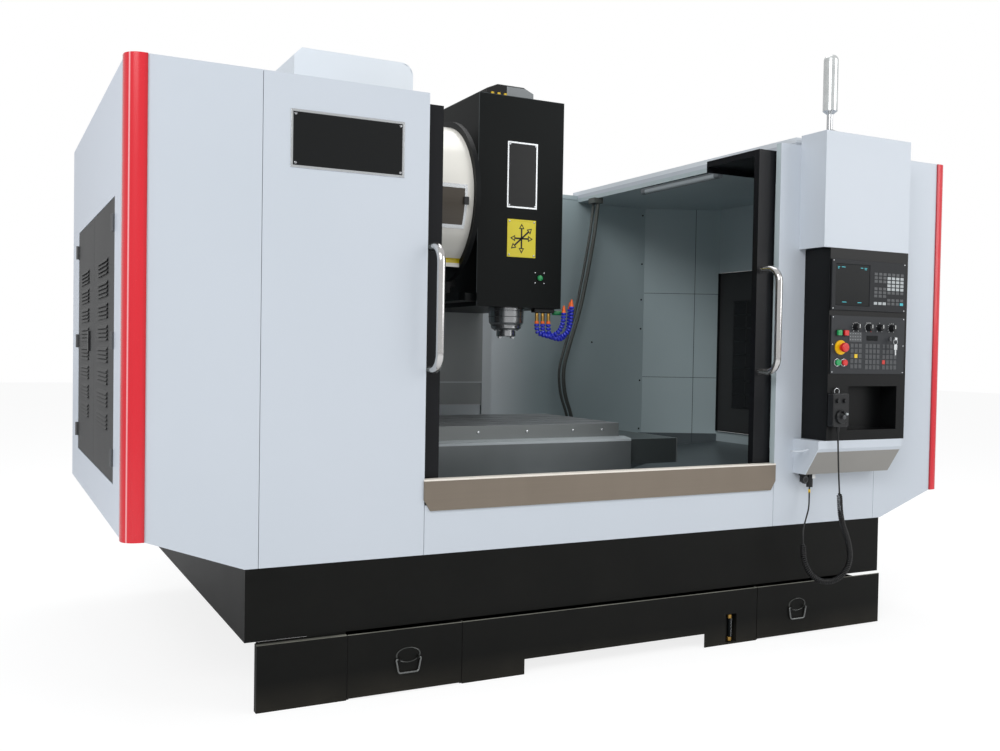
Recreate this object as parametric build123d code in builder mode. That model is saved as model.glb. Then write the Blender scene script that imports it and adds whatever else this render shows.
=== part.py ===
"""Vertical CNC machining centre with a full enclosure, seen from its front left.

Millimetres, +Z up. The origin is on the floor at the centre of the levelling feet.
The operator stands at -Y. Depths are counted back from the enclosure's front face.
"""
import math
import os
from build123d import *

os.makedirs("parts", exist_ok=True)

# Enclosure
front_y = -1340.0
half_width = 1850.0
spindle_depth = 967.0
throat_depth = 823.0
column_front = spindle_depth + throat_depth
wall_setback = 70.0
rear_wall_depth = column_front + wall_setback
rear_margin = 80.0
enclosure_depth = rear_wall_depth + rear_margin
panel_top = 2148.0
panel_bottom = 486.0
side_bottom = 600.0
skin = 3.0
seat_gap = 0.3
fold = 30.0
corner_radius = 45.0
seam_x = 1423.0
panel_gap = 2.0
opening_x = 823.0
diagonal_inner_x = 1465.0
strip_width = 62.0
strip_thickness = 6.0

# Side doors with louvres
side_door_front = 293.0
side_door_rear_margin = 295.0
side_door_rear = enclosure_depth - side_door_rear_margin
side_door_seam = 965.0
side_door_bottom = 752.0
side_door_top = 1733.0
side_door_gap = 3.0
side_door_thickness = 20.0
louvre_length = 333.0
louvre_height = 8.0
louvre_pitch = 15.0
louvre_rows = 4
louvre_blocks = 8
louvre_block_pitch = 80.0
louvre_first_z = 924.0
louvre_hood = 6.0
louvre_drop = 2.0
louvre_root = 4.0
louvre_front_margin = 191.0
hinge_radius = 6.0
latch_depth = 1120.0
latch_z = 1242.0
latch_height = 84.0
latch_width = 26.0

# Base box and the row of tank and drawers under it
base_half_x = 1465.0
base_bottom = 238.0
base_front = 4.0
base_wall = 4.0
skirt_front = -13.0
skirt_top = 230.0
skirt_skin = 3.0
skirt_left_x = -1428.0
skirt_seam_1 = -1111.0
skirt_seam_2 = -669.0
skirt_seam_3 = 733.0
skirt_right_x = 1459.0
notch_left_x = -405.0
notch_right_x = 453.0
notch_height = 58.0
tank_depth = 400.0
drawer_depth = 560.0
floor_gap = 5.0
seam_gap = 3.0
gauge_x = 593.0
gauge_width = 58.0
gauge_bottom = 8.0
gauge_height = 120.0
gauge_depth = 30.0
bail_z = 122.0
bail_width = 96.0
bail_drop = 50.0
bail_wire = 3.5
bail_stand = 5.5
ear_offset = 11.0
ear_half = 3.5
runner_z = 100.0
runner_height = 20.0
drawer_inset = 20.0
bail_left_x = -882.0
bail_right_x = 960.0

# Doors
door_front = 38.0
door_thickness = 32.0
door_width = 838.0
door_left_edge = -752.0
door_right_edge = 735.0
door_bottom = 706.0
door_top = 2092.0
door_stile = 92.0
door_rail = 110.0
door_roof_depth = 395.0
door_roof_thickness = 26.0
glass_thickness = 6.0
glass_gap = 0.5
handle_radius = 15.0
handle_foot_low = 1157.0
handle_foot_high = 1600.0
handle_reach = 74.0
handle_bend = 60.0
handle_inset = 50.0
handle_foot_radius = 22.0

# Sill under the doors
sill_half_x = 826.0
sill_bottom = 645.0
sill_top = 760.0
sill_front = -7.0
sill_fold = 34.0
sill_chamfer_x = 25.0
sill_chamfer_z = 40.0

# Roof
roof_underside = 2124.0
rail_x = 936.0
rail_width = 46.0
rail_top = 2188.0
rail_end = 1921.0
roof_left_edge = 936.0
hood_left = -1163.0
hood_right = -663.0
hood_front = 560.0
hood_rear = 1500.0
hood_top = 2407.0
hood_radius = 50.0

# Console
housing_left = 936.0
housing_right = 1440.0
housing_front = -150.0
housing_bottom = 1694.0
console_left = 974.0
console_bottom = 866.0
console_skin = 3.0
lcd_left = 978.0
lcd_right = 1417.0
lcd_bottom = 1428.0
lcd_top = 1646.0
lcd_thickness = 8.0
screen_left = 1000.0
screen_right = 1200.0
screen_bottom = 1449.0
screen_top = 1627.0
screen_recess = 4.0
operator_left = 983.0
operator_right = 1421.0
operator_bottom = 1155.0
operator_top = 1405.0
operator_thickness = 6.0
recess_left = 1095.0
recess_right = 1388.0
recess_bottom = 910.0
recess_top = 1101.0
recess_depth = 90.0
knob_z = 1357.0
knob_radius = 15.0
knob_height = 22.0
knob_x_list = (1124.0, 1200.0, 1266.0, 1339.0)
key_switch_x = 1334.0
key_switch_z = 1310.0
square_button = 22.0
square_button_z = 1331.0
square_button_x_list = (1022.0, 1061.0)
round_button_radius = 13.0
round_button_z = 1203.0
round_button_x_list = (1018.0, 1056.0)
button_height = 9.0
button_travel = 4.0
stop_x = 1035.0
stop_z = 1268.0
stop_radius = 20.0
stop_ring_radius = 31.0
stop_height = 26.0
stop_dome = 6.0
stop_ring_height = 6.0
stem_radius = 5.0
stem_length = 16.0
stem_clearance = 0.05
wedge_left = 930.0
wedge_right = 1428.0
wedge_lip_bottom = 832.0
wedge_bottom = 715.0
wedge_toe = -75.0
button_gap = 0.3
pendant_left = 972.0
pendant_width = 92.0
pendant_bottom = 928.0
pendant_height = 144.0
pendant_thickness = 32.0
pendant_hook = 6.0
wheel_radius = 30.0
wheel_height = 9.0
cord_radius = 3.5
tail_radius = 3.5
coil_radius = 13.0
connector_radius = 14.0
connector_depth = -40.0
connector_x_list = (952.0, 991.0)
connector_drop_list = (36.0, 60.0)
work_lamp_front = 556.0
work_lamp_rear = 1200.0
work_lamp_top = 2116.0
work_lamp_size = 30.0
conduit_x = 944.0
conduit_depth = 1652.0
conduit_radius = 11.0

# Signal lamp on the roof box
lamp_x = 1019.0
lamp_depth = -80.0
lamp_radius = 31.0
lamp_height = 342.0

# Bed, saddle, table and column
bed_half_x = 620.0
bed_front = 425.0
bed_rear = 2350.0
bed_bottom = 90.0
bed_top = 600.0
bed_rear_top = 700.0
foot_half_x = 540.0
foot_half_y = 750.0
foot_radius = 80.0
anchor_offset = 38.0
anchor_radius = 8.0
foot_thickness = 25.0
foot_screw_radius = 15.0
rail_section = 45.0
rail_height = 40.0
running_gap = 0.5
y_rail_x = 420.0
saddle_half_x = 740.0
saddle_half_y = 250.0
saddle_top = 752.0
x_rail_spacing = 170.0
carriage_spread = 120.0
carriage_length = 110.0
table_left = -975.0
table_length = 1400.0
table_half_y = 350.0
table_top = 900.0
table_thickness = 62.0
slot_width = 18.0
slot_depth = 30.0
slot_pitch = 125.0
slot_foot_width = 30.0
slot_foot_height = 12.0
slot_count = 5
apron_reach = 57.0
apron_front = spindle_depth - table_half_y - apron_reach
apron_bottom = 682.0
apron_overhang = 33.0
way_cover_length = 330.0
way_cover_top = 822.0
way_cover_bottom = 705.0
way_cover_half_y = 366.0
column_half_x = 290.0
column_depth = 560.0
column_rear = column_front + column_depth
column_top = 2330.0
column_foot = 90.0
z_rail_x = 165.0
screw_radius = 20.0
motor_side = 190.0

# Head and spindle
head_half_x = 225.0
head_reach = 132.0
head_front = spindle_depth - head_reach
head_rear_gap = 100.0
head_rear = column_front - head_rear_gap
head_button_x = 106.0
head_button_z = 1576.0
head_button_radius = 9.0
head_bottom = 1434.0
head_top = 2412.0
head_skin = 3.0
casting_half_x = 190.0
casting_lift = 14.0
casting_top = 2080.0
sleeve_radius = 86.0
sleeve_bottom = 1330.0
nose_radius = 46.0
nose_bottom = 1298.0
taper_radius = 22.2
taper_depth = 70.0
spindle_clearance = 0.05
fan_width = 250.0
fan_setback = 125.0
fan_front = head_front + fan_setback
fan_depth = 330.0
fan_top = 2494.0
manifold_x = 152.0
manifold_setback = 45.0
manifold_depth = head_front + manifold_setback
manifold_spacing = 32.0
hose_radius = 8.0

# Telescopic cover on the column
z_cover_half_x = 236.0
z_cover_reach = 88.0
z_cover_front = column_front - z_cover_reach
z_cover_bottom = 1050.0
z_cover_step = 3.3
z_cover_flange = 60.0
head_down = 248.0
head_up = 452.0

# Tool magazine
magazine_axis_z = 1909.0
magazine_radius = 343.0
magazine_right = -346.0
magazine_left = -820.0
magazine_skin = 3.0
chute_half = 202.0
chute_front = spindle_depth - chute_half
chute_bottom = 1600.0
window_bottom = 1764.0
window_top = 1934.0
window_inset = 35.0
plate_radius = 370.0
plate_thickness = 22.0
bracket_half = 150.0
pot_count = 20
pot_radius = 33.0
pot_circle = 270.0
pot_length = 150.0
axle_radius = 30.0
axle_length = 190.0
arm_z = 1452.0
arm_x = -300.0
arm_length = 560.0
arm_width = 90.0
arm_thickness = 36.0

# Walls behind the work area
rear_wall_corner_x = 1425.0
wall_slant = 208.0
rear_wall_side_depth = rear_wall_depth - wall_slant
rear_wall_top = 2138.0
rear_flange_top = 2162.0
wall_bottom = 640.0
wall_skin = 3.0
pan_inner_x = 770.0
pan_low = 500.0
pan_high = 690.0
pan_front = 80.0
wall_gap = 6.0
wall_return = 14.0

# Electrical cabinet behind the column
cabinet_half_x = 700.0
cabinet_setback = 90.0
cabinet_front = column_rear + cabinet_setback
cabinet_depth = 420.0
cabinet_bottom = 500.0
cabinet_height = 1500.0
cabinet_door_thickness = 25.0


def back(depth):
    """The Y place of a depth behind the enclosure's front face."""
    return front_y + depth


def face(depth):
    """An upright sketch plane facing the operator: x is X and y is Z."""
    return Plane.XZ.offset(-back(depth))


def across(x):
    """An upright sketch plane facing +X: x is Y and y is Z."""
    return Plane.YZ.offset(x)


def block(x0, x1, d0, d1, z0, z1, mode=Mode.ADD):
    """A box between two places on each axis, added to or cut from the open part."""
    with Locations(((x0 + x1) / 2, back((d0 + d1) / 2), (z0 + z1) / 2)):
        Box(x1 - x0, d1 - d0, z1 - z0, mode=mode)


def finish(builder, name):
    """Label one piece and write it."""
    builder.part.label = name
    export_step(builder.part, "parts/" + name + ".step")


on_base = (Align.CENTER, Align.CENTER, Align.MIN)

# Bed: a ribbed casting, open below, with the Y guide rails and the Y ball screw on it
rail_top_z = bed_top + rail_height
bearing_half = screw_radius * 1.6
y_screw_z = rail_top_z
y_rail_start = bed_front + 15
y_rail_end = column_front - 170
with BuildPart() as bed:
    with BuildSketch(across(-bed_half_x)):
        with BuildLine():
            Polyline(
                (back(bed_front), bed_bottom),
                (back(bed_rear), bed_bottom),
                (back(bed_rear), bed_rear_top),
                (back(column_front - 60), bed_rear_top),
                (back(column_front - 160), bed_top),
                (back(bed_front), bed_top),
                close=True,
            )
        make_face()
    extrude(amount=2 * bed_half_x)
    for rail_side in (-1, 1):
        rail_mid = rail_side * y_rail_x
        block(rail_mid - rail_section / 2, rail_mid + rail_section / 2, y_rail_start, y_rail_end,
              bed_top, bed_top + rail_height)
    for bearing_d in (y_rail_start + bearing_half, y_rail_end - bearing_half):
        block(-bearing_half, bearing_half, bearing_d - bearing_half, bearing_d + bearing_half,
              bed_top, y_screw_z + bearing_half)
    with Locations((0, back((y_rail_start + y_rail_end) / 2), y_screw_z)):
        Cylinder(screw_radius, y_rail_end - y_rail_start, rotation=(90, 0, 0))
    with GridLocations(2 * foot_half_x, foot_half_y, 2, 3):
        Cone(foot_radius, foot_radius * 0.7, foot_thickness, align=on_base)
        Cylinder(foot_screw_radius, bed_bottom, align=on_base)
    with GridLocations(2 * (foot_half_x + anchor_offset), 2 * foot_half_y, 2, 2):
        Cylinder(anchor_radius, 3 * foot_thickness, mode=Mode.SUBTRACT)
finish(bed, "bed")

# Saddle: runs on the Y rails and carries the X rails
saddle_foot_top = rail_top_z + 40
carriage_half = rail_section / 2 + 35
saddle_screw_channel = bearing_half + 6
x_screw_z = saddle_top + screw_radius + 24
saddle_front = spindle_depth - saddle_half_y
saddle_rear = spindle_depth + saddle_half_y
with BuildPart() as saddle:
    with BuildSketch(face(saddle_rear)):
        with BuildLine():
            Polyline(
                (-saddle_half_x, saddle_top),
                (-saddle_half_x, saddle_top - 45),
                (-y_rail_x - carriage_half, saddle_foot_top - 32),
                (-y_rail_x - carriage_half, rail_top_z + 2),
                (y_rail_x + carriage_half, rail_top_z + 2),
                (y_rail_x + carriage_half, saddle_foot_top - 32),
                (saddle_half_x, saddle_top - 45),
                (saddle_half_x, saddle_top),
                close=True,
            )
        make_face()
    extrude(amount=2 * saddle_half_y)
    for rail_side in (-1, 1):
        rail_mid = rail_side * y_rail_x
        for carriage_d in (saddle_front + 80, saddle_rear - 150):
            block(rail_mid - carriage_half, rail_mid + carriage_half, carriage_d, carriage_d + 140,
                  bed_top + 10, rail_top_z + 2)
        block(rail_mid - rail_section / 2 - running_gap, rail_mid + rail_section / 2 + running_gap,
              saddle_front - 1, saddle_rear + 1, bed_top, rail_top_z + running_gap, Mode.SUBTRACT)
    block(-saddle_screw_channel, saddle_screw_channel, saddle_front - 1, saddle_rear + 1,
          bed_top, y_screw_z + saddle_screw_channel, Mode.SUBTRACT)
    for rail_side in (-1, 1):
        rail_mid = spindle_depth + rail_side * x_rail_spacing
        block(-saddle_half_x, saddle_half_x, rail_mid - rail_section / 2, rail_mid + rail_section / 2,
              saddle_top, saddle_top + rail_height)
    for bearing_x in (-saddle_half_x + bearing_half, saddle_half_x - bearing_half):
        block(bearing_x - bearing_half, bearing_x + bearing_half, spindle_depth - bearing_half,
              spindle_depth + bearing_half, saddle_top, x_screw_z + screw_radius + 2)
    with Locations((0, back(spindle_depth), x_screw_z)):
        Cylinder(screw_radius, 2 * saddle_half_x, rotation=(0, 90, 0))
finish(saddle, "saddle")

# Table: T slots along its top, carriages and a nut under it
table_right = table_left + table_length
table_bottom = table_top - table_thickness
table_mid_x = (table_left + table_right) / 2
x_rail_top = saddle_top + rail_height
with BuildPart() as table:
    block(table_left, table_right, spindle_depth - table_half_y, spindle_depth + table_half_y,
          table_bottom, table_top)
    with BuildSketch(across(table_left - 1)) as slot_sketch:
        with Locations((back(spindle_depth), table_top - slot_depth / 2)):
            with GridLocations(slot_pitch, 1, slot_count, 1):
                Rectangle(slot_width, slot_depth)
        with Locations((back(spindle_depth), table_top - slot_depth + slot_foot_height / 2)):
            with GridLocations(slot_pitch, 1, slot_count, 1):
                Rectangle(slot_foot_width, slot_foot_height)
    extrude(amount=table_length + 2, mode=Mode.SUBTRACT)
    for rail_side in (-1, 1):
        rail_mid = spindle_depth + rail_side * x_rail_spacing
        for carriage_x in (table_mid_x - carriage_spread, table_mid_x + carriage_spread):
            block(carriage_x - carriage_length / 2, carriage_x + carriage_length / 2,
                  rail_mid - carriage_half, rail_mid + carriage_half, saddle_top + 10, table_bottom)
            block(carriage_x - carriage_length / 2 - 1, carriage_x + carriage_length / 2 + 1,
                  rail_mid - rail_section / 2 - running_gap,
                  rail_mid + rail_section / 2 + running_gap, saddle_top, x_rail_top + running_gap,
                  Mode.SUBTRACT)
    block(table_mid_x - 50, table_mid_x + 50, spindle_depth - 45, spindle_depth + 45,
          saddle_top + 8, table_bottom)
    with Locations((table_mid_x, back(spindle_depth), x_screw_z)):
        Cylinder(screw_radius + running_gap, 102, rotation=(0, 90, 0), mode=Mode.SUBTRACT)
finish(table, "table")

# Apron along the table's front edge, and the covers fixed to its ends
table_front = spindle_depth - table_half_y
with BuildPart() as table_covers:
    with BuildSketch(across(table_left - apron_overhang)):
        with BuildLine():
            Polyline(
                (back(table_front + 12), table_bottom),
                (back(table_front + 12), table_bottom - skin),
                (back(apron_front + skin), table_bottom - 4 * skin),
                (back(apron_front + skin), apron_bottom),
                (back(apron_front), apron_bottom),
                (back(apron_front), table_bottom - 2.6 * skin),
                (back(table_front), table_bottom),
                close=True,
            )
        make_face()
    extrude(amount=table_length + 2 * apron_overhang)
    cover_front = spindle_depth - way_cover_half_y
    cover_rear = spindle_depth + way_cover_half_y
    for cover_start, flange_x in ((table_right, table_right), (table_left - way_cover_length, table_left - skin)):
        cover_end = cover_start + way_cover_length
        block(cover_start, cover_end, cover_front, cover_rear, way_cover_bottom, way_cover_top)
        block(cover_start - skin, cover_end + skin, cover_front + skin, cover_rear - skin,
              way_cover_bottom, way_cover_top - skin, Mode.SUBTRACT)
        block(flange_x, flange_x + skin, cover_front + 60, cover_rear - 60, way_cover_top - skin,
              table_bottom + 30)
finish(table_covers, "table_covers")

# Column: a ribbed box casting that carries the Z rails and the Z ball screw
z_screw_depth = column_front - 38
with BuildPart() as column:
    block(-column_half_x, column_half_x, column_front, column_rear, bed_rear_top, column_top)
    block(-column_half_x - column_foot, column_half_x + column_foot, column_front, column_rear,
          bed_rear_top, bed_rear_top + column_foot / 2)
    for bearing_z in (bed_rear_top + 150, column_top - 40):
        block(-bearing_half, bearing_half, z_screw_depth - bearing_half, column_front,
              bearing_z - 30, bearing_z + 30)
    with Locations((0, back(z_screw_depth), bed_rear_top + 120)):
        Cylinder(screw_radius, column_top - bed_rear_top - 120,
                 align=on_base)
    for rail_side in (-1, 1):
        rail_mid = rail_side * z_rail_x
        block(rail_mid - rail_section / 2, rail_mid + rail_section / 2, column_front - rail_height,
              column_front, bed_rear_top + 120, column_top)
finish(column, "column")

# Head casting: rides on the Z rails behind the sheet cover and holds the spindle sleeve
casting_rear = column_front - rail_height - 3
casting_front = head_front + 40
motor_bottom = casting_top + 60
sleeve_top = casting_top - 140
boss_reach = head_half_x - head_skin - seat_gap
with BuildPart() as head_casting:
    with BuildSketch(across(-casting_half_x)):
        with BuildLine():
            Polyline(
                (back(casting_front), head_bottom + casting_lift),
                (back(casting_rear), head_bottom + casting_lift),
                (back(casting_rear), casting_top),
                (back(casting_rear - 160), casting_top),
                (back(casting_front + 260), casting_top - 260),
                (back(casting_front), casting_top - 300),
                close=True,
            )
        make_face()
    extrude(amount=2 * casting_half_x)
    with Locations((0, back(spindle_depth), head_bottom)):
        Cylinder(sleeve_radius, sleeve_top + 30 - head_bottom, align=on_base, mode=Mode.SUBTRACT)
    for pocket_side in (-1, 1):
        block(pocket_side * (casting_half_x - 35) - 36, pocket_side * (casting_half_x - 35) + 36,
              casting_front + 230, casting_rear - 120, head_bottom + 80, casting_top - 320, Mode.SUBTRACT)
    for rail_side in (-1, 1):
        rail_mid = rail_side * z_rail_x
        for carriage_z in (head_bottom + 40, head_bottom + 290):
            block(rail_mid - 57, rail_mid + 57, casting_rear - 6, column_front - 8,
                  carriage_z, carriage_z + 150)
        block(rail_mid - rail_section / 2 - running_gap, rail_mid + rail_section / 2 + running_gap,
              column_front - rail_height - running_gap, column_front, head_bottom, casting_top,
              Mode.SUBTRACT)
    block(-bearing_half - 6, bearing_half + 6, z_screw_depth - bearing_half - 6, column_front, head_bottom,
          casting_top + 1, Mode.SUBTRACT)
    block(-bearing_half - 7, bearing_half + 7, z_screw_depth - bearing_half - 7, column_front - 6,
          head_bottom + 220, head_bottom + 340)
    with Locations((0, back(z_screw_depth), head_bottom + 280)):
        Cylinder(screw_radius + running_gap, 130, mode=Mode.SUBTRACT)
    with Locations((0, back(spindle_depth), casting_top)):
        Cylinder(26, motor_bottom - casting_top, align=on_base)
    with Locations((0, back(spindle_depth), motor_bottom)):
        Box(motor_side, motor_side, head_top - motor_bottom - 12, align=on_base)
    block(-casting_half_x + 10, casting_half_x - 10, spindle_depth - 80, z_screw_depth - bearing_half - 8,
          casting_top, motor_bottom)
    for boss_z in (head_bottom + 160, casting_top - 60):
        block(-boss_reach, boss_reach, casting_rear - 260, casting_rear - 220, boss_z, boss_z + 40)
finish(head_casting, "head_casting")

# Head cover: a sheet box, open at the back, with a cut for the sleeve in its floor
with BuildPart() as head_cover:
    block(-head_half_x, head_half_x, head_front, head_rear, head_bottom, head_top)
    block(-head_half_x + head_skin, head_half_x - head_skin, head_front + head_skin, head_rear + 1,
          head_bottom + 10, head_top - head_skin, Mode.SUBTRACT)
    with Locations((0, back(spindle_depth), head_bottom)):
        Cylinder(sleeve_radius + 1, 60, mode=Mode.SUBTRACT)
    block(-fan_width / 2 + 30, fan_width / 2 - 30, fan_front + 30, fan_front + fan_depth - 60,
          head_top - 10, head_top + 1, Mode.SUBTRACT)
    with BuildSketch(face(head_front - 6)):
        with Locations((head_button_x, head_button_z)):
            Circle(head_button_radius)
    extrude(amount=-10)
finish(head_cover, "head_cover")

# Spindle sleeve with its flange and the labyrinth steps at the nose
with BuildPart() as spindle_sleeve:
    with BuildSketch(Plane.XZ.offset(-back(spindle_depth))):
        with BuildLine():
            Polyline(
                (nose_radius + spindle_clearance, sleeve_bottom),
                (sleeve_radius - 26, sleeve_bottom),
                (sleeve_radius - 14, sleeve_bottom + 8),
                (sleeve_radius - 14, sleeve_bottom + 22),
                (sleeve_radius - 3, sleeve_bottom + 34),
                (sleeve_radius - 0.3, head_bottom - 4),
                (sleeve_radius - 0.3, sleeve_top),
                (nose_radius + spindle_clearance, sleeve_top),
                close=True,
            )
        make_face()
    revolve(axis=Axis((0, back(spindle_depth), 0), (0, 0, 1)))
finish(spindle_sleeve, "spindle_sleeve")

# Spindle: a hollow shaft with a taper mouth and two drive keys
with BuildPart() as spindle:
    with BuildSketch(Plane.XZ.offset(-back(spindle_depth))):
        with BuildLine():
            Polyline(
                (taper_radius, nose_bottom),
                (nose_radius - 3, nose_bottom),
                (nose_radius, nose_bottom + 3),
                (nose_radius, sleeve_top + 20),
                (12, sleeve_top + 20),
                (12, nose_bottom + taper_depth),
                (taper_radius - 8, nose_bottom + taper_depth),
                close=True,
            )
        make_face()
    revolve(axis=Axis((0, back(spindle_depth), 0), (0, 0, 1)))
    with Locations((0, back(spindle_depth), nose_bottom - 4)):
        with GridLocations(2 * (nose_radius - 13), 1, 2, 1):
            Box(14, 16, 8)
finish(spindle, "spindle")

# Fan cowl of the spindle motor: it stands out of the top of the cover
with BuildPart() as fan_cowl:
    with BuildSketch(face(fan_front + fan_depth)):
        with BuildLine():
            Polyline(
                (-fan_width / 2, head_top),
                (fan_width / 2, head_top),
                (fan_width / 2, head_top + 58),
                (fan_width / 2 - 55, fan_top),
                (-fan_width / 2 + 55, fan_top),
                (-fan_width / 2, head_top + 58),
                close=True,
            )
        make_face()
        fillet(vertices().group_by(Axis.Y)[-1], 18)
    extrude(amount=fan_depth)
    with BuildSketch(face(fan_front + fan_depth)):
        with Locations((0, (head_top + fan_top) / 2)):
            Rectangle(fan_width - 60, fan_top - head_top - 40)
    extrude(amount=24, mode=Mode.SUBTRACT)
finish(fan_cowl, "fan_cowl")

# Coolant manifold under the head with three bare brass spigots and their swivel hoses
hose_count = 3
manifold_bottom = head_bottom - 34
hose_top = manifold_bottom - 26
with BuildPart() as coolant_hoses:
    block(manifold_x - 55, manifold_x + 55, manifold_depth - 18, manifold_depth + 18,
          manifold_bottom, head_bottom)
    for hose in range(hose_count):
        hose_x = manifold_x + (hose - 1) * manifold_spacing
        with Locations((hose_x, back(manifold_depth), manifold_bottom)):
            Cylinder(hose_radius, 26, align=(Align.CENTER, Align.CENTER, Align.MAX))
    block(manifold_x + 55, manifold_x + 110, manifold_depth - 10, manifold_depth + 10,
          head_bottom - 30, head_bottom - 10)
    for hose in range(hose_count):
        hose_x = manifold_x + (hose - 1) * manifold_spacing
        swing = 60 + 32 * hose
        with BuildLine() as hose_path:
            FilletPolyline(
                (hose_x, back(manifold_depth), hose_top),
                (hose_x, back(manifold_depth), hose_top - 62 - 5 * hose),
                (hose_x + swing, back(manifold_depth - 18), hose_top - 62 - 5 * hose),
                (hose_x + swing, back(manifold_depth - 18), hose_top - 10 + 36 * hose),
                radius=26,
            )
        with BuildSketch(Plane(origin=(hose_x, back(manifold_depth), hose_top), z_dir=(0, 0, -1))):
            Circle(hose_radius + 1)
        sweep(path=hose_path.wires()[0])
        with Locations((hose_x + swing, back(manifold_depth - 18), hose_top - 10 + 36 * hose)):
            Cone(hose_radius + 3, 4, 34, align=on_base)
finish(coolant_hoses, "coolant_hoses")

# Telescopic cover below the head: three nested sheets
z_cover_length = head_bottom - z_cover_bottom
z_cover_middle_drop = (z_cover_bottom - head_down) + head_down / 2


def z_cover(name, bottom, index):
    """One sheet of the cover, narrower and further back than the one before it."""
    half = z_cover_half_x - z_cover_step * index
    front = z_cover_front + z_cover_step * index
    with BuildPart() as cover:
        block(-half, half, front, front + z_cover_flange, bottom, bottom + z_cover_length)
        block(-half + skin, half - skin, front + skin, front + z_cover_flange + 1, bottom - 1,
              bottom + z_cover_length + 1, Mode.SUBTRACT)
        if index == 0:
            lug_top = head_bottom + casting_lift - seat_gap
            block(-casting_half_x + 10, casting_half_x - 10, front, front + skin, head_bottom, lug_top)
            for lug_side in (-1, 1):
                with Locations((lug_side * (casting_half_x - 50), back((front + casting_rear) / 2 - 2),
                                lug_top - skin / 2)):
                    Box(80, casting_rear - front - 4, skin)
    finish(cover, name)


z_cover("z_cover_upper", z_cover_bottom, 0)
z_cover("z_cover_middle", z_cover_middle_drop, 1)

# Tool magazine: a drum on a sideways axis, its window in the rim and its chute below
chute_rear = 2 * spindle_depth - chute_front
with BuildPart() as magazine_cover:
    with BuildSketch(across(magazine_left)):
        with BuildLine():
            rim_start = math.asin((chute_front - spindle_depth) / magazine_radius)
            left_angle = 270 - math.degrees(-rim_start)
            right_angle = 270 + math.degrees(-rim_start)
            CenterArc((back(spindle_depth), magazine_axis_z), magazine_radius, right_angle,
                      360 - 2 * math.degrees(-rim_start))
            left_foot = (back(chute_front), magazine_axis_z - magazine_radius * math.cos(rim_start))
            right_foot = (back(chute_rear), magazine_axis_z - magazine_radius * math.cos(rim_start))
            Polyline(left_foot, (back(chute_front), chute_bottom), (back(chute_rear), chute_bottom),
                     right_foot)
        make_face()
    extrude(amount=magazine_right - magazine_left)
    with BuildSketch(across(magazine_left + magazine_skin)):
        with Locations((back(spindle_depth), magazine_axis_z)):
            Circle(magazine_radius - magazine_skin)
        with Locations((back(spindle_depth), (chute_bottom + magazine_axis_z) / 2)):
            Rectangle(chute_rear - chute_front - 2 * magazine_skin, magazine_axis_z - chute_bottom + 2)
    extrude(amount=magazine_right - magazine_left, mode=Mode.SUBTRACT)
    block(magazine_left + 60, magazine_right - window_inset, spindle_depth - magazine_radius - 5,
          spindle_depth - magazine_radius / 2, window_bottom, window_top, Mode.SUBTRACT)
finish(magazine_cover, "magazine_cover")

with BuildPart() as magazine_plate:
    with BuildSketch(across(magazine_right)):
        with Locations((back(spindle_depth), magazine_axis_z)):
            Circle(plate_radius)
        with Locations((back((spindle_depth + column_front) / 2), magazine_axis_z)):
            Rectangle(column_front + 120 - spindle_depth, 2 * bracket_half)
    extrude(amount=plate_thickness)
    block(magazine_right + plate_thickness, -column_half_x, column_front + 20, column_front + 80,
          magazine_axis_z - bracket_half, magazine_axis_z + bracket_half)
    with Locations((magazine_right, back(spindle_depth), magazine_axis_z)):
        Cylinder(axle_radius, axle_length, rotation=(0, -90, 0), align=on_base)
    # Tool changer under the magazine: gearbox and the parked double arm
    block(magazine_right + plate_thickness - 3, -column_half_x + 10, spindle_depth - 10, spindle_depth + 150,
          arm_z + 70, chute_bottom - 20)
    block(magazine_right, magazine_right + plate_thickness, spindle_depth - 60, spindle_depth + 200,
          arm_z + 40, chute_bottom - 20)
    with Locations((arm_x, back(spindle_depth + 40), arm_z + arm_thickness)):
        Cylinder(24, 70 - arm_thickness, align=on_base)
    with BuildSketch(Plane.XY.offset(arm_z)):
        with Locations((arm_x, back(spindle_depth + 40))):
            SlotOverall(arm_length, arm_width, rotation=90)
        with Locations((arm_x, back(spindle_depth + 40))):
            with GridLocations(1, arm_length - 40, 1, 2):
                Circle(30, mode=Mode.SUBTRACT)
    extrude(amount=arm_thickness)
finish(magazine_plate, "magazine_plate")

# Magazine disc: a ring of tool pots round a hub that turns on the stub axle
disc_left = magazine_right - 30 - pot_length / 2
with BuildPart() as magazine_disc:
    with Locations((disc_left, back(spindle_depth), magazine_axis_z)):
        Cylinder(pot_circle - 12, 40, rotation=(0, 90, 0))
    with BuildSketch(across(disc_left - pot_length / 2)):
        with Locations((back(spindle_depth), magazine_axis_z)):
            with PolarLocations(pot_circle, pot_count):
                Circle(pot_radius)
    extrude(amount=pot_length)
    with Locations((disc_left, back(spindle_depth), magazine_axis_z)):
        Cylinder(axle_radius + 22, pot_length, rotation=(0, 90, 0))
    with Locations((disc_left, back(spindle_depth), magazine_axis_z)):
        Cylinder(axle_radius + spindle_clearance, pot_length + 60, rotation=(0, 90, 0), mode=Mode.SUBTRACT)
finish(magazine_disc, "magazine_disc")


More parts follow.
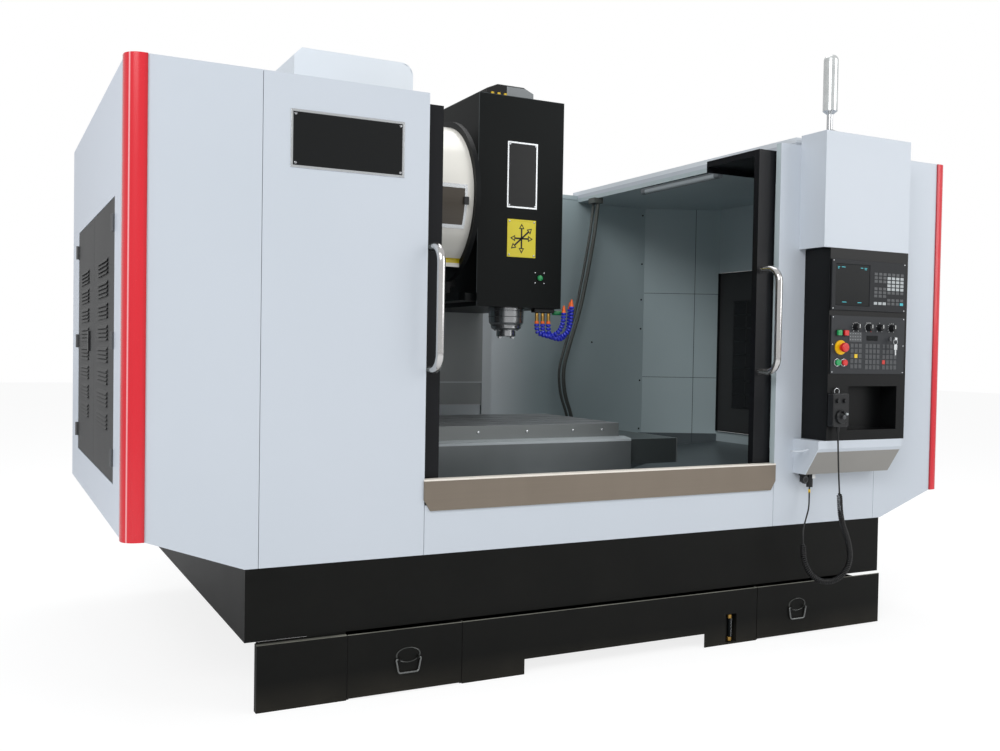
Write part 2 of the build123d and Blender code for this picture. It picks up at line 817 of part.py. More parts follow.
# Front panels, roof panels and the hood over the magazine: white sheet, edges folded back
sill_band = sill_bottom + 20
hood_skin = 3.0
with BuildPart() as enclosure_panels:
    for panel_left, panel_right in ((-seam_x + panel_gap, -opening_x), (opening_x, seam_x - panel_gap)):
        block(panel_left, panel_right, 0, fold, panel_bottom, panel_top)
        block(panel_left + skin, panel_right - skin, skin, fold + 1, panel_bottom + skin, panel_top - skin,
              Mode.SUBTRACT)
    block(-opening_x + panel_gap, opening_x - panel_gap, 0, fold, panel_bottom, sill_band)
    block(-opening_x + panel_gap + skin, opening_x - panel_gap - skin, skin, fold + 1,
          panel_bottom + skin, sill_band - skin, Mode.SUBTRACT)
    for roof_inner, roof_outer in ((-half_width + 6, -roof_left_edge), (rail_x, half_width - 6)):
        block(roof_inner, roof_outer, fold + 1, enclosure_depth - 4, roof_underside, panel_top)
        block(roof_inner + skin, roof_outer - skin, fold + 1 + skin, enclosure_depth - 4 - skin,
              roof_underside + skin, panel_top + 1, Mode.SUBTRACT)
    block(rail_x, rail_x + rail_width, fold + 1, rail_end, roof_underside, rail_top)
    with BuildSketch(face(hood_rear)):
        with BuildLine():
            Polyline(
                (hood_left, panel_top),
                (hood_left, hood_top - 30),
                (hood_left + 30, hood_top),
                (hood_right - hood_radius, hood_top),
            )
            RadiusArc((hood_right - hood_radius, hood_top), (hood_right, hood_top - hood_radius), hood_radius)
            Polyline(
                (hood_right, hood_top - hood_radius),
                (hood_right, magazine_axis_z + magazine_radius + 60),
                (hood_right - hood_skin, magazine_axis_z + magazine_radius + 60),
                (hood_right - hood_skin, hood_top - hood_radius),
            )
            RadiusArc((hood_right - hood_skin, hood_top - hood_radius),
                      (hood_right - hood_radius, hood_top - hood_skin), -(hood_radius - hood_skin))
            Polyline(
                (hood_right - hood_radius, hood_top - hood_skin),
                (hood_left + 31, hood_top - hood_skin),
                (hood_left + hood_skin, hood_top - 31),
                (hood_left + hood_skin, panel_top),
                (hood_left, panel_top),
            )
        make_face()
    extrude(amount=hood_rear - hood_front)
    for hood_end in (hood_front, hood_rear - hood_skin):
        with BuildSketch(face(hood_end + hood_skin)):
            with BuildLine():
                Polyline(
                    (hood_left + 1, panel_top),
                    (hood_left + 1, hood_top - 31),
                    (hood_left + 31, hood_top - 1),
                    (hood_right - hood_radius, hood_top - 1),
                    (hood_right - 16, hood_top - 16),
                    (hood_right - 1, hood_top - hood_radius),
                    (hood_right - 1, panel_top),
                    close=True,
                )
            make_face()
        extrude(amount=hood_skin)
finish(enclosure_panels, "enclosure_panels")

# Side panels: one folded sheet from the front seam round the corner to the back
for side, side_name in ((-1, "left"), (1, "right")):
    outer_x = side * half_width
    with BuildPart() as side_panel:
        with BuildSketch(Plane.XY.offset(panel_bottom)):
            with BuildLine():
                Polyline(
                    (side * seam_x, front_y),
                    (outer_x, front_y),
                    (outer_x, back(enclosure_depth)),
                    (outer_x - side * fold, back(enclosure_depth)),
                    (outer_x - side * fold, back(enclosure_depth - skin)),
                    (outer_x - side * skin, back(enclosure_depth - skin)),
                    (outer_x - side * skin, front_y + skin),
                    (side * (seam_x + skin), front_y + skin),
                    (side * (seam_x + skin), front_y + fold),
                    (side * seam_x, front_y + fold),
                    close=True,
                )
            make_face()
            corners = vertices().sort_by_distance((outer_x, front_y))
            fillet(corners[0], corner_radius)
            fillet(vertices().sort_by_distance((outer_x - side * skin, front_y + skin))[0], corner_radius - skin)
        extrude(amount=panel_top - panel_bottom)
        with BuildSketch(face(enclosure_depth + 1)):
            with BuildLine():
                Polyline(
                    (side * diagonal_inner_x, panel_bottom - 1),
                    (side * (half_width - strip_width), side_bottom),
                    (side * (half_width + 1), side_bottom),
                    (side * (half_width + 1), panel_bottom - 1),
                    close=True,
                )
            make_face()
        extrude(amount=enclosure_depth + 2, mode=Mode.SUBTRACT)
        block(outer_x - 10, outer_x + 10, side_door_front, side_door_rear, side_door_bottom,
              side_door_top, Mode.SUBTRACT)
    finish(side_panel, "side_panel_" + side_name)

# Corner strips: rounded red extrusions clipped over both front corners
with BuildPart() as corner_strips:
    for side in (-1, 1):
        outer_x = side * (half_width + strip_thickness)
        inner_x = side * half_width
        with BuildSketch(Plane.XY.offset(side_bottom)):
            with BuildLine():
                Polyline(
                    (side * (half_width - strip_width), front_y),
                    (side * (half_width - strip_width), front_y - strip_thickness),
                    (outer_x, front_y - strip_thickness),
                    (outer_x, front_y + strip_width),
                    (inner_x, front_y + strip_width),
                    (inner_x, front_y),
                    close=True,
                )
            make_face()
            fillet(vertices().sort_by_distance((outer_x, front_y - strip_thickness))[0],
                   corner_radius + strip_thickness)
            fillet(vertices().sort_by_distance((inner_x, front_y))[0], corner_radius)
        extrude(amount=panel_top - side_bottom)
finish(corner_strips, "corner_strips")


def side_door(name, side, hinge_depth, seam_depth):
    """A pan-shaped leaf with blocks of pressed louvres and its hinge knuckles."""
    outer_x = side * (half_width - 1)
    inner_x = side * (half_width - 1 - side_door_thickness)
    toward_seam = 1 if seam_depth > hinge_depth else -1
    hinge_edge = hinge_depth + toward_seam * side_door_gap
    seam_edge = seam_depth - toward_seam * side_door_gap / 2
    low_d = min(hinge_edge, seam_edge)
    high_d = max(hinge_edge, seam_edge)
    louvre_start = hinge_depth + louvre_front_margin if toward_seam > 0 else seam_depth + 200
    skin_x = side * (half_width - 1 - skin)
    with BuildPart() as leaf:
        block(min(outer_x, inner_x), max(outer_x, inner_x), low_d, high_d,
              side_door_bottom + side_door_gap, side_door_top - side_door_gap)
        block(min(skin_x, inner_x - side), max(skin_x, inner_x - side), low_d + skin, high_d - skin,
              side_door_bottom + side_door_gap + skin, side_door_top - side_door_gap - skin, Mode.SUBTRACT)
        louvre_z = [louvre_first_z + louvre_block_pitch * group + louvre_pitch * row
                    for group in range(louvre_blocks) for row in range(louvre_rows)]
        with BuildSketch(across(min(skin_x, outer_x) - 1)):
            for z in louvre_z:
                with Locations((back(louvre_start + louvre_length / 2), z + louvre_height / 2)):
                    Rectangle(louvre_length, louvre_height)
        extrude(amount=skin + 2, mode=Mode.SUBTRACT)
        lip_x = outer_x + side * louvre_hood
        with BuildSketch(face(louvre_start + louvre_length)):
            for z in louvre_z:
                with BuildLine():
                    Polyline((outer_x, z + louvre_height + louvre_root), (lip_x, z + louvre_drop),
                             (lip_x, z - louvre_drop), (outer_x, z + louvre_height), close=True)
                make_face()
        extrude(amount=louvre_length)
        for knuckle_z in (side_door_bottom + 90, (side_door_bottom + side_door_top) / 2, side_door_top - 90):
            with Locations((side * (half_width + hinge_radius + seat_gap),
                            back(hinge_edge + toward_seam * hinge_radius / 2), knuckle_z)):
                Cylinder(hinge_radius, 60)
            tab_x = side * (half_width + hinge_radius)
            tab_end = hinge_edge + toward_seam * hinge_radius
            block(min(outer_x, tab_x), max(outer_x, tab_x), min(hinge_edge, tab_end), max(hinge_edge, tab_end),
                  knuckle_z - 30, knuckle_z + 30)
    finish(leaf, name)


for side, side_name in ((-1, "left"), (1, "right")):
    side_door("side_door_" + side_name + "_front", side, side_door_front, side_door_seam)
    side_door("side_door_" + side_name + "_rear", side, side_door_rear, side_door_seam)
    with BuildPart() as side_latch:
        latch_face = side * (half_width - 1)
        block(min(latch_face, latch_face + side * 9), max(latch_face, latch_face + side * 9),
              latch_depth - latch_width / 2, latch_depth + latch_width / 2,
              latch_z - latch_height / 2, latch_z + latch_height / 2)
        fillet(side_latch.edges().filter_by(Axis.X), 6)
    finish(side_latch, "side_latch_" + side_name)

# Inner guards: the back walls of the work area, the fixed sheet of the column cover, the chip pan
wall_inner_x = column_half_x + wall_gap
bracket_low = magazine_axis_z - bracket_half - wall_gap
bracket_high = magazine_axis_z + bracket_half + wall_gap
with BuildPart() as inner_guards:
    for side in (-1, 1):
        with BuildSketch(Plane.XY.offset(wall_bottom)):
            with BuildLine():
                Polyline(
                    (side * wall_inner_x, back(rear_wall_depth)),
                    (side * rear_wall_corner_x, back(rear_wall_depth)),
                    (side * (half_width - skin - seat_gap), back(rear_wall_side_depth)),
                    (side * (half_width - skin - seat_gap), back(rear_wall_side_depth + wall_skin)),
                    (side * rear_wall_corner_x, back(rear_wall_depth + wall_skin)),
                    (side * wall_inner_x, back(rear_wall_depth + wall_skin)),
                    close=True,
                )
            make_face()
        extrude(amount=rear_wall_top - wall_bottom)
        inner_edge = side * wall_inner_x
        return_depth = z_cover_front + wall_return
        block(min(inner_edge, inner_edge + side * skin), max(inner_edge, inner_edge + side * skin),
              return_depth, rear_wall_depth + 1, wall_bottom, rear_wall_top)
        return_edge = side * (z_cover_half_x + wall_gap)
        block(min(inner_edge + side, return_edge), max(inner_edge + side, return_edge), return_depth,
              return_depth + skin, wall_bottom, rear_wall_top)
        block(min(inner_edge, side * (rail_x - wall_gap)), max(inner_edge, side * (rail_x - wall_gap)),
              rear_wall_depth - skin, rear_wall_depth + fold, rear_wall_top, rear_flange_top)
        with BuildSketch(face(rear_wall_depth)):
            with BuildLine():
                Polyline(
                    (side * (half_width - skin - seat_gap), pan_high),
                    (side * pan_inner_x, pan_low + 60),
                    (side * pan_inner_x, pan_low),
                    (side * (pan_inner_x + skin), pan_low),
                    (side * (pan_inner_x + skin), pan_low + 57),
                    (side * (half_width - skin - seat_gap), pan_high - skin),
                    close=True,
                )
            make_face()
        extrude(amount=rear_wall_depth - pan_front)
        block(min(side * (rail_x - 1), side * half_width), max(side * (rail_x - 1), side * half_width),
              rear_wall_side_depth - 10, enclosure_depth, roof_underside - seat_gap, rear_flange_top + 1,
              Mode.SUBTRACT)
    block(-bed_half_x - 1, bed_half_x + 1, return_depth - 1, enclosure_depth, wall_bottom - 1,
          bed_rear_top + column_foot / 2 + 1, Mode.SUBTRACT)
    block(magazine_right - wall_gap, -column_half_x, return_depth - 1, enclosure_depth, bracket_low,
          bracket_high, Mode.SUBTRACT)
    low_half = z_cover_half_x - 2 * z_cover_step
    low_front = z_cover_front + 2 * z_cover_step
    low_z = z_cover_bottom - head_down
    block(-low_half, low_half, low_front, low_front + skin, low_z, low_z + z_cover_length)
    for side in (-1, 1):
        flange_x = side * low_half
        block(min(flange_x, flange_x - side * skin), max(flange_x, flange_x - side * skin), low_front,
              column_front, low_z, low_z + z_cover_length)
finish(inner_guards, "inner_guards")

# Base box: the black lower housing, open above and below, with inward lips
base_rear = enclosure_depth - 4
with BuildPart() as base_box:
    block(-base_half_x, base_half_x, base_front, base_rear, base_bottom, panel_bottom)
    block(-base_half_x + base_wall, base_half_x - base_wall, base_front + base_wall,
          base_rear - base_wall, base_bottom - 1, panel_bottom + 1, Mode.SUBTRACT)
    for side in (-1, 1):
        lip_x = side * base_half_x
        block(min(lip_x, lip_x - side * fold), max(lip_x, lip_x - side * fold), base_front, base_rear,
              base_bottom, base_bottom + base_wall)
        with BuildSketch(face(base_rear)):
            with BuildLine():
                Polyline(
                    (side * base_half_x, panel_bottom - base_wall),
                    (side * base_half_x, panel_bottom),
                    (side * (half_width - skin - seat_gap), side_bottom + 30),
                    (side * (half_width - skin - seat_gap), side_bottom + 30 - base_wall),
                    close=True,
                )
            make_face()
        extrude(amount=base_rear - fold - 6)
    block(-base_half_x, base_half_x, base_front, base_front + fold, base_bottom, base_bottom + base_wall)
    block(-bed_half_x, bed_half_x, base_rear - 2 * base_wall, base_rear + 1, base_bottom - 1, panel_bottom + 1,
          Mode.SUBTRACT)
finish(base_box, "base_box")

# Coolant tank under the base: its front plate has a fork notch and a sight gauge
tank_half_gap = seam_gap / 2
tank_left = skirt_seam_2 + tank_half_gap
tank_right = skirt_seam_3 - tank_half_gap
with BuildPart() as coolant_tank:
    block(tank_left, tank_right, skirt_front, skirt_front + tank_depth, notch_height, skirt_top)
    block(tank_left + skin, tank_right - skin, skirt_front + skin, skirt_front + tank_depth - skin,
          notch_height + skin, skirt_top + 1, Mode.SUBTRACT)
    block(tank_left, notch_left_x, skirt_front, skirt_front + skirt_skin, 0, notch_height)
    block(notch_right_x, tank_right, skirt_front, skirt_front + skirt_skin, 0, notch_height)
    for runner_x in (tank_left + 60, tank_right - 60):
        block(runner_x - 30, runner_x + 30, skirt_front + 60, skirt_front + tank_depth - 20, 0, notch_height)
    block(gauge_x - gauge_width / 2 - skin, gauge_x + gauge_width / 2 + skin, skirt_front,
          skirt_front + gauge_depth + skin, gauge_bottom - skin, gauge_bottom + gauge_height + skin)
    block(gauge_x - gauge_width / 2, gauge_x + gauge_width / 2, skirt_front - 1,
          skirt_front + gauge_depth, gauge_bottom, gauge_bottom + gauge_height, Mode.SUBTRACT)
    block(skirt_left_x, skirt_seam_1 - tank_half_gap, skirt_front, skirt_front + fold, 0, skirt_top)
    block(skirt_left_x + skin, skirt_seam_1 - tank_half_gap - skin, skirt_front + skirt_skin,
          skirt_front + fold + 1, -1, skirt_top - skin, Mode.SUBTRACT)
    runner_reach = seam_gap + drawer_inset - seat_gap
    for runner_x in (tank_left - runner_reach, tank_right, skirt_seam_1 - tank_half_gap):
        block(runner_x, runner_x + runner_reach, skirt_front + 8, skirt_front + tank_depth, runner_z,
              runner_z + runner_height)
finish(coolant_tank, "coolant_tank")


def chip_drawer(name, x0, x1, bail_x):
    """A sheet drawer with a full-height front, an open top and two ears for its wire pull."""
    with BuildPart() as drawer:
        block(x0, x1, skirt_front, skirt_front + skirt_skin, floor_gap, skirt_top)
        block(x0 + drawer_inset, x1 - drawer_inset, skirt_front + skirt_skin, skirt_front + drawer_depth,
              floor_gap + 20, skirt_top - 40)
        block(x0 + drawer_inset + skin, x1 - drawer_inset - skin, skirt_front + skirt_skin,
              skirt_front + drawer_depth - skin, floor_gap + 20 + skin, skirt_top, Mode.SUBTRACT)
        for ear_side in (-1, 1):
            ear_x = bail_x + ear_side * (bail_width / 2 - ear_offset)
            block(ear_x - ear_half, ear_x + ear_half, skirt_front - 2 * bail_stand, skirt_front,
                  bail_z - bail_stand, bail_z + bail_stand)
        with Locations((bail_x, back(skirt_front - bail_stand), bail_z)):
            Cylinder(bail_wire + spindle_clearance, bail_width - 8, rotation=(0, 90, 0), mode=Mode.SUBTRACT)
    finish(drawer, name)


chip_drawer("chip_drawer_left", skirt_seam_1 + tank_half_gap, skirt_seam_2 - tank_half_gap, bail_left_x)
chip_drawer("chip_drawer_right", skirt_seam_3 + tank_half_gap, skirt_right_x, bail_right_x)


def bail(name, x):
    """A wire pull hanging from two ears on a drawer front."""
    wire_y = back(skirt_front - bail_stand)
    half = bail_width / 2
    with BuildPart() as pull:
        with BuildLine() as wire:
            FilletPolyline(
                (x - half + 14, wire_y, bail_z),
                (x - half, wire_y, bail_z),
                (x - half + 10, wire_y, bail_z - bail_drop),
                (x + half - 10, wire_y, bail_z - bail_drop),
                (x + half, wire_y, bail_z),
                (x + half - 14, wire_y, bail_z),
                radius=[4, 10, 10, 4],
            )
        with BuildSketch(Plane(origin=(x - half + 14, wire_y, bail_z), z_dir=(-1, 0, 0))):
            Circle(bail_wire)
        sweep(path=wire.wires()[0])
    finish(pull, name)


bail("drawer_bail_left", bail_left_x)
bail("drawer_bail_right", bail_right_x)

# Sill: a stainless sheet across the opening, its top edge folded back, its lower corners cut
with BuildPart() as sill:
    with BuildSketch(face(0)):
        with BuildLine():
            Polyline(
                (-sill_half_x + sill_chamfer_x, sill_bottom),
                (sill_half_x - sill_chamfer_x, sill_bottom),
                (sill_half_x, sill_bottom + sill_chamfer_z),
                (sill_half_x, sill_top),
                (-sill_half_x, sill_top),
                (-sill_half_x, sill_bottom + sill_chamfer_z),
                close=True,
            )
        make_face()
    extrude(amount=-sill_front)
    block(-opening_x + 3, opening_x - 3, 0, sill_fold - 6, sill_top - 4, sill_top)
    block(-opening_x + 3, opening_x - 3, sill_fold - 10, sill_fold - 6, sill_band + 10, sill_top)
finish(sill, "sill")


def sliding_door(side_name, x0, x1, handle_x):
    """A frame with a folded roof part, its pane, and a tubular handle."""
    pane_left = x0 + door_stile
    pane_right = x1 - door_stile
    pane_low = door_bottom + door_rail
    pane_high = door_top - door_rail
    with BuildPart() as door:
        block(x0, x1, door_front, door_front + door_thickness, door_bottom, door_top)
        block(x0, x1, door_front, door_roof_depth, door_top, door_top + door_roof_thickness)
        block(x0 + skin, x1 - skin, door_front + skin, door_front + door_thickness - skin,
              door_bottom + skin, door_top - skin, Mode.SUBTRACT)
        block(pane_left, pane_right, door_front - 1, door_front + door_thickness + 1, pane_low, pane_high,
              Mode.SUBTRACT)
        for rail_x0, rail_x1, rail_z0, rail_z1 in (
                (pane_left - skin, pane_left, pane_low - skin, pane_high + skin),
                (pane_right, pane_right + skin, pane_low - skin, pane_high + skin),
                (pane_left - skin, pane_right + skin, pane_low - skin, pane_low),
                (pane_left - skin, pane_right + skin, pane_high, pane_high + skin)):
            block(rail_x0, rail_x1, door_front, door_front + door_thickness, rail_z0, rail_z1)
        block(x0, x1, door_roof_depth - skin, door_roof_depth, door_top - 24, door_top)
        with BuildLine() as tube:
            FilletPolyline(
                (handle_x, back(door_front), handle_foot_low),
                (handle_x, back(door_front - door_to_grip), handle_foot_low),
                (handle_x, back(door_front - door_to_grip), handle_foot_high),
                (handle_x, back(door_front), handle_foot_high),
                radius=handle_bend,
            )
        with BuildSketch(Plane(origin=(handle_x, back(door_front), handle_foot_low), z_dir=(0, -1, 0))):
            Circle(handle_radius)
        sweep(path=tube.wires()[0])
    finish(door, "door_" + side_name)
    with BuildPart() as pane:
        mid = door_front + door_thickness / 2
        block(pane_left + glass_gap, pane_right - glass_gap, mid - glass_thickness / 2,
              mid + glass_thickness / 2, pane_low + glass_gap, pane_high - glass_gap)
    finish(pane, "door_glass_" + side_name)


door_to_grip = door_front + handle_reach
sliding_door("left", door_left_edge - door_width, door_left_edge, door_left_edge - handle_inset)
sliding_door("right", door_right_edge, door_right_edge + door_width, door_right_edge + handle_inset / 2)

# Console housing: the white box over the console and the shelf wedge under it
with BuildPart() as console_housing:
    block(housing_left, housing_right, housing_front, -seat_gap, housing_bottom, rail_top)
    block(housing_left + skin, housing_right - skin, housing_front + skin, 1, housing_bottom - 1,
          rail_top - skin, Mode.SUBTRACT)
    with BuildSketch(across(wedge_left)):
        with BuildLine():
            Polyline(
                (back(-seat_gap), console_bottom),
                (back(housing_front), console_bottom),
                (back(housing_front), wedge_lip_bottom),
                (back(wedge_toe), wedge_bottom),
                (back(-seat_gap), wedge_bottom),
                close=True,
            )
        make_face()
        offset(amount=-skin, mode=Mode.SUBTRACT, kind=Kind.INTERSECTION)
    extrude(amount=wedge_right - wedge_left)
    for end_x in (wedge_left, wedge_right - skin):
        with BuildSketch(across(end_x)):
            with BuildLine():
                Polyline(
                    (back(-seat_gap), console_bottom),
                    (back(housing_front), console_bottom),
                    (back(housing_front), wedge_lip_bottom),
                    (back(wedge_toe), wedge_bottom),
                    (back(-seat_gap), wedge_bottom),
                    close=True,
                )
            make_face()
        extrude(amount=skin)
    for connector_x in connector_x_list:
        with Locations((connector_x, back(connector_depth), wedge_bottom)):
            Cylinder(connector_radius - 4, 4 * skin, mode=Mode.SUBTRACT)
finish(console_housing, "console_housing")

# Console: a black sheet box with a recess, the screen unit and the operator panel on its front
console_top = housing_bottom
lcd_front = housing_front - lcd_thickness
panel_face = housing_front - operator_thickness
button_x_z = [(x, square_button_z) for x in square_button_x_list]
button_x_z += [(x, round_button_z) for x in round_button_x_list]
control_holes = [(x, knob_z) for x in knob_x_list] + button_x_z
control_holes += [(stop_x, stop_z), (key_switch_x, key_switch_z)]
with BuildPart() as console_box:
    block(console_left, housing_right, housing_front, -seat_gap, console_bottom, console_top)
    block(console_left + console_skin, housing_right - console_skin, housing_front + console_skin, 1,
          console_bottom + console_skin, console_top - console_skin, Mode.SUBTRACT)
    block(recess_left - console_skin, recess_right + console_skin, housing_front,
          housing_front + recess_depth + console_skin, recess_bottom - console_skin, recess_top + console_skin)
    block(recess_left, recess_right, housing_front - 1, housing_front + recess_depth, recess_bottom,
          recess_top, Mode.SUBTRACT)
    block(operator_left + 12, operator_right - 12, housing_front - 1, housing_front + console_skin + 1,
          operator_bottom + 12, operator_top - 12, Mode.SUBTRACT)
    block(pendant_left + 20, pendant_left + pendant_width - 20, housing_front - pendant_hook, housing_front,
          pendant_bottom + pendant_height - 50, pendant_bottom + pendant_height - 20)
    block(lcd_left, lcd_right, lcd_front, housing_front, lcd_bottom, lcd_top)
    block(screen_left, screen_right, lcd_front - 1, lcd_front + screen_recess, screen_bottom, screen_top,
          Mode.SUBTRACT)
    chamfer(console_box.edges().filter_by_position(Axis.Y, back(lcd_front) - 0.1, back(lcd_front) + 0.1)
            .filter_by_position(Axis.X, lcd_left - 0.1, lcd_right + 0.1), 1.5)
    block(operator_left, operator_right, panel_face, housing_front, operator_bottom, operator_top)
    with BuildSketch(face(housing_front)):
        with Locations((stop_x, stop_z)):
            Circle(stop_ring_radius)
    extrude(amount=operator_thickness + stop_ring_height)
    with BuildSketch(face(housing_front + console_skin + 1)):
        with Locations(*control_holes):
            Circle(stem_radius + stem_clearance)
    extrude(amount=console_skin + operator_thickness + stop_ring_height + 2, mode=Mode.SUBTRACT)
finish(console_box, "console_box")


def knob(name, x, z):
    """A turned rotary knob with a pointer ridge and its stem in the panel."""
    base = panel_face - button_gap
    with BuildPart() as dial:
        with BuildSketch(face(base)):
            with Locations((x, z)):
                Circle(knob_radius)
        extrude(amount=knob_height, taper=8)
        with BuildSketch(face(base - knob_height)):
            with Locations((x, z + 2)):
                Rectangle(4, 2 * knob_radius - 10)
        extrude(amount=2)
        with BuildSketch(face(base)):
            with Locations((x, z)):
                Circle(stem_radius)
        extrude(amount=-stem_length)
    finish(dial, name)


def push_button(name, x, z, square):
    """A button cap that stands off the panel by its travel, on a guided stem."""
    base = panel_face - button_gap - button_travel
    with BuildPart() as button:
        with BuildSketch(face(base)):
            with Locations((x, z)):
                if square:
                    RectangleRounded(square_button, square_button, 2)
                else:
                    Circle(round_button_radius)
        extrude(amount=button_height)
        with BuildSketch(face(base)):
            with Locations((x, z)):
                Circle(stem_radius)
        extrude(amount=-stem_length)
    finish(button, name)


for knob_name, knob_x in zip(("mode_knob", "feed_knob", "rapid_knob", "spindle_knob"), knob_x_list):
    knob(knob_name, knob_x, knob_z)
for button_name, button_x in zip(("power_on_button", "power_off_button"), square_button_x_list):
    push_button(button_name, button_x, square_button_z, True)
for button_name, button_x in zip(("cycle_start_button", "feed_hold_button"), round_button_x_list):
    push_button(button_name, button_x, round_button_z, False)

with BuildPart() as key_switch:
    with BuildSketch(face(panel_face - button_gap)):
        with Locations((key_switch_x, key_switch_z)):
            Circle(9)
    extrude(amount=5)
    block(key_switch_x - 1.2, key_switch_x + 1.2, panel_face - 24, panel_face - 5, key_switch_z - 8,
          key_switch_z + 8)
    with BuildSketch(face(panel_face - button_gap)):
        with Locations((key_switch_x, key_switch_z)):
            Circle(stem_radius)
    extrude(amount=-stem_length)
finish(key_switch, "key_switch")

# Emergency stop: a mushroom head over its ring
stop_base = panel_face - stop_ring_height - button_gap - button_travel
with BuildPart() as emergency_stop:
    with BuildSketch(Plane.YZ.offset(stop_x)):
        with BuildLine():
            Polyline(
                (back(stop_base + stem_length + stop_ring_height), stop_z),
                (back(stop_base + stem_length + stop_ring_height), stop_z + stem_radius),
                (back(stop_base), stop_z + stem_radius),
                (back(stop_base), stop_z + stop_radius - 6),
                (back(stop_base - stop_height + 16), stop_z + stop_radius - 6),
                (back(stop_base - stop_height + 14), stop_z + stop_radius),
                (back(stop_base - stop_height), stop_z + stop_radius),
                (back(stop_base - stop_height), stop_z),
                close=True,
            )
        make_face()
    revolve(axis=Axis((stop_x, 0, stop_z), (0, 1, 0)))
    fillet(emergency_stop.edges().filter_by(GeomType.CIRCLE).sort_by(Axis.Y)[0], stop_dome)
finish(emergency_stop, "emergency_stop")

# Pendant: the hand-held box on its hook, with its wheel
pendant_back = housing_front - pendant_hook
pendant_face = pendant_back - pendant_thickness
pendant_mid_x = pendant_left + pendant_width / 2
wheel_z = pendant_bottom + 44
with BuildPart() as pendant:
    block(pendant_left, pendant_left + pendant_width, pendant_face, pendant_back, pendant_bottom,
          pendant_bottom + pendant_height)
    fillet(pendant.edges().filter_by(Axis.Y), 10)
    fillet(pendant.faces().sort_by(Axis.Y)[0].edges(), 4)
    with BuildSketch(face(pendant_face + stem_length)):
        with Locations((pendant_mid_x, wheel_z)):
            Circle(stem_radius + stem_clearance)
    extrude(amount=stem_length + 1, mode=Mode.SUBTRACT)
    with BuildSketch(face(pendant_face)):
        with GridLocations(40, 1, 2, 1):
            with Locations((pendant_mid_x, pendant_bottom + pendant_height - 32)):
                Circle(10)
    extrude(amount=9)
finish(pendant, "pendant")

with BuildPart() as pendant_wheel:
    with BuildSketch(face(pendant_face - button_gap)):
        with Locations((pendant_mid_x, wheel_z)):
            Circle(wheel_radius)
    extrude(amount=wheel_height)
    chamfer(pendant_wheel.faces().sort_by(Axis.Y)[0].edges(), 2)
    with BuildSketch(face(pendant_face - button_gap - wheel_height)):
        with Locations((pendant_mid_x, wheel_z + wheel_radius - 10)):
            Circle(5)
    extrude(amount=12)
    with BuildSketch(face(pendant_face - button_gap)):
        with Locations((pendant_mid_x, wheel_z)):
            Circle(stem_radius)
    extrude(amount=-(stem_length - 1))
finish(pendant_wheel, "pendant_wheel")

# Pendant cord: a straight lead, a curly part and a straight tail to the connector
relief_length = 23.0
lead_top = (pendant_mid_x, back(-172), pendant_bottom - relief_length)
coil_top = (pendant_mid_x + 16, back(-174), 640)
coil_end = (895, back(-110), 425)
tail_top = (connector_x_list[1], back(connector_depth), wedge_bottom - connector_drop_list[1])
lead_points = [lead_top, (pendant_mid_x + 4, back(-175), 770), coil_top]
coil_points = [
    coil_top,
    (pendant_mid_x + 27, back(-173), 530),
    (1100, back(-166), 434),
    (1123, back(-162), 345),
    (1084, back(-158), 278),
    (1003, back(-152), 252),
    (925, back(-142), 278),
    (885, back(-126), 345),
    coil_end,
]
tail_points = [coil_end, (901, back(-100), 480), (936, back(-82), 528), (978, back(-55), 566),
               (991, back(connector_depth), 618), tail_top]


def arc_radii(points, least):
    """One radius for each corner of a cord's path: 0.45 of its shorter run over the half turn."""
    radii = []
    for before, corner, after in zip(points, points[1:], points[2:]):
        run_in = Vector(*corner) - Vector(*before)
        run_out = Vector(*after) - Vector(*corner)
        half_turn = math.radians(run_in.get_angle(run_out)) / 2
        radii.append(0.45 * min(run_in.length, run_out.length) / math.tan(half_turn))
    print("smallest radius", round(min(radii), 1), "of at least", least)
    return radii


def cord_tube(points, radius, least):
    """A tube along straight runs joined by tangent arcs, for use inside an open part."""
    with BuildLine(mode=Mode.PRIVATE) as route:
        FilletPolyline(*points, radius=arc_radii(points, least))
    path = route.wires()[0]
    start = Plane(origin=points[0], z_dir=Vector(*points[1]) - Vector(*points[0]))
    with BuildSketch(start, mode=Mode.PRIVATE) as section:
        Circle(radius)
    return sweep(section.sketch, path=path, mode=Mode.ADD), path.length


with BuildPart() as pendant_cord:
    for points, radius in ((lead_points, cord_radius), (tail_points, tail_radius)):
        tube, run_length = cord_tube(points, radius, 5 * radius)
        print("cord run", round(run_length, 1))
finish(pendant_cord, "pendant_cord")

with BuildPart() as cord_coil:
    tube, run_length = cord_tube(coil_points, coil_radius, 6 * coil_radius)
    print("coil run", round(run_length, 1))
finish(cord_coil, "cord_coil")

with BuildPart() as cord_fittings:
    with Locations(lead_top):
        Cone(cord_radius + 1.5, cord_radius + 5, relief_length, align=on_base)
    for connector_x, drop in zip(connector_x_list, connector_drop_list):
        with Locations((connector_x, back(connector_depth), wedge_bottom - drop)):
            Cylinder(connector_radius, drop - 8, align=on_base)
        with Locations((connector_x, back(connector_depth), wedge_bottom - 8)):
            Cylinder(connector_radius + 5, 8, align=on_base)
finish(cord_fittings, "cord_fittings")

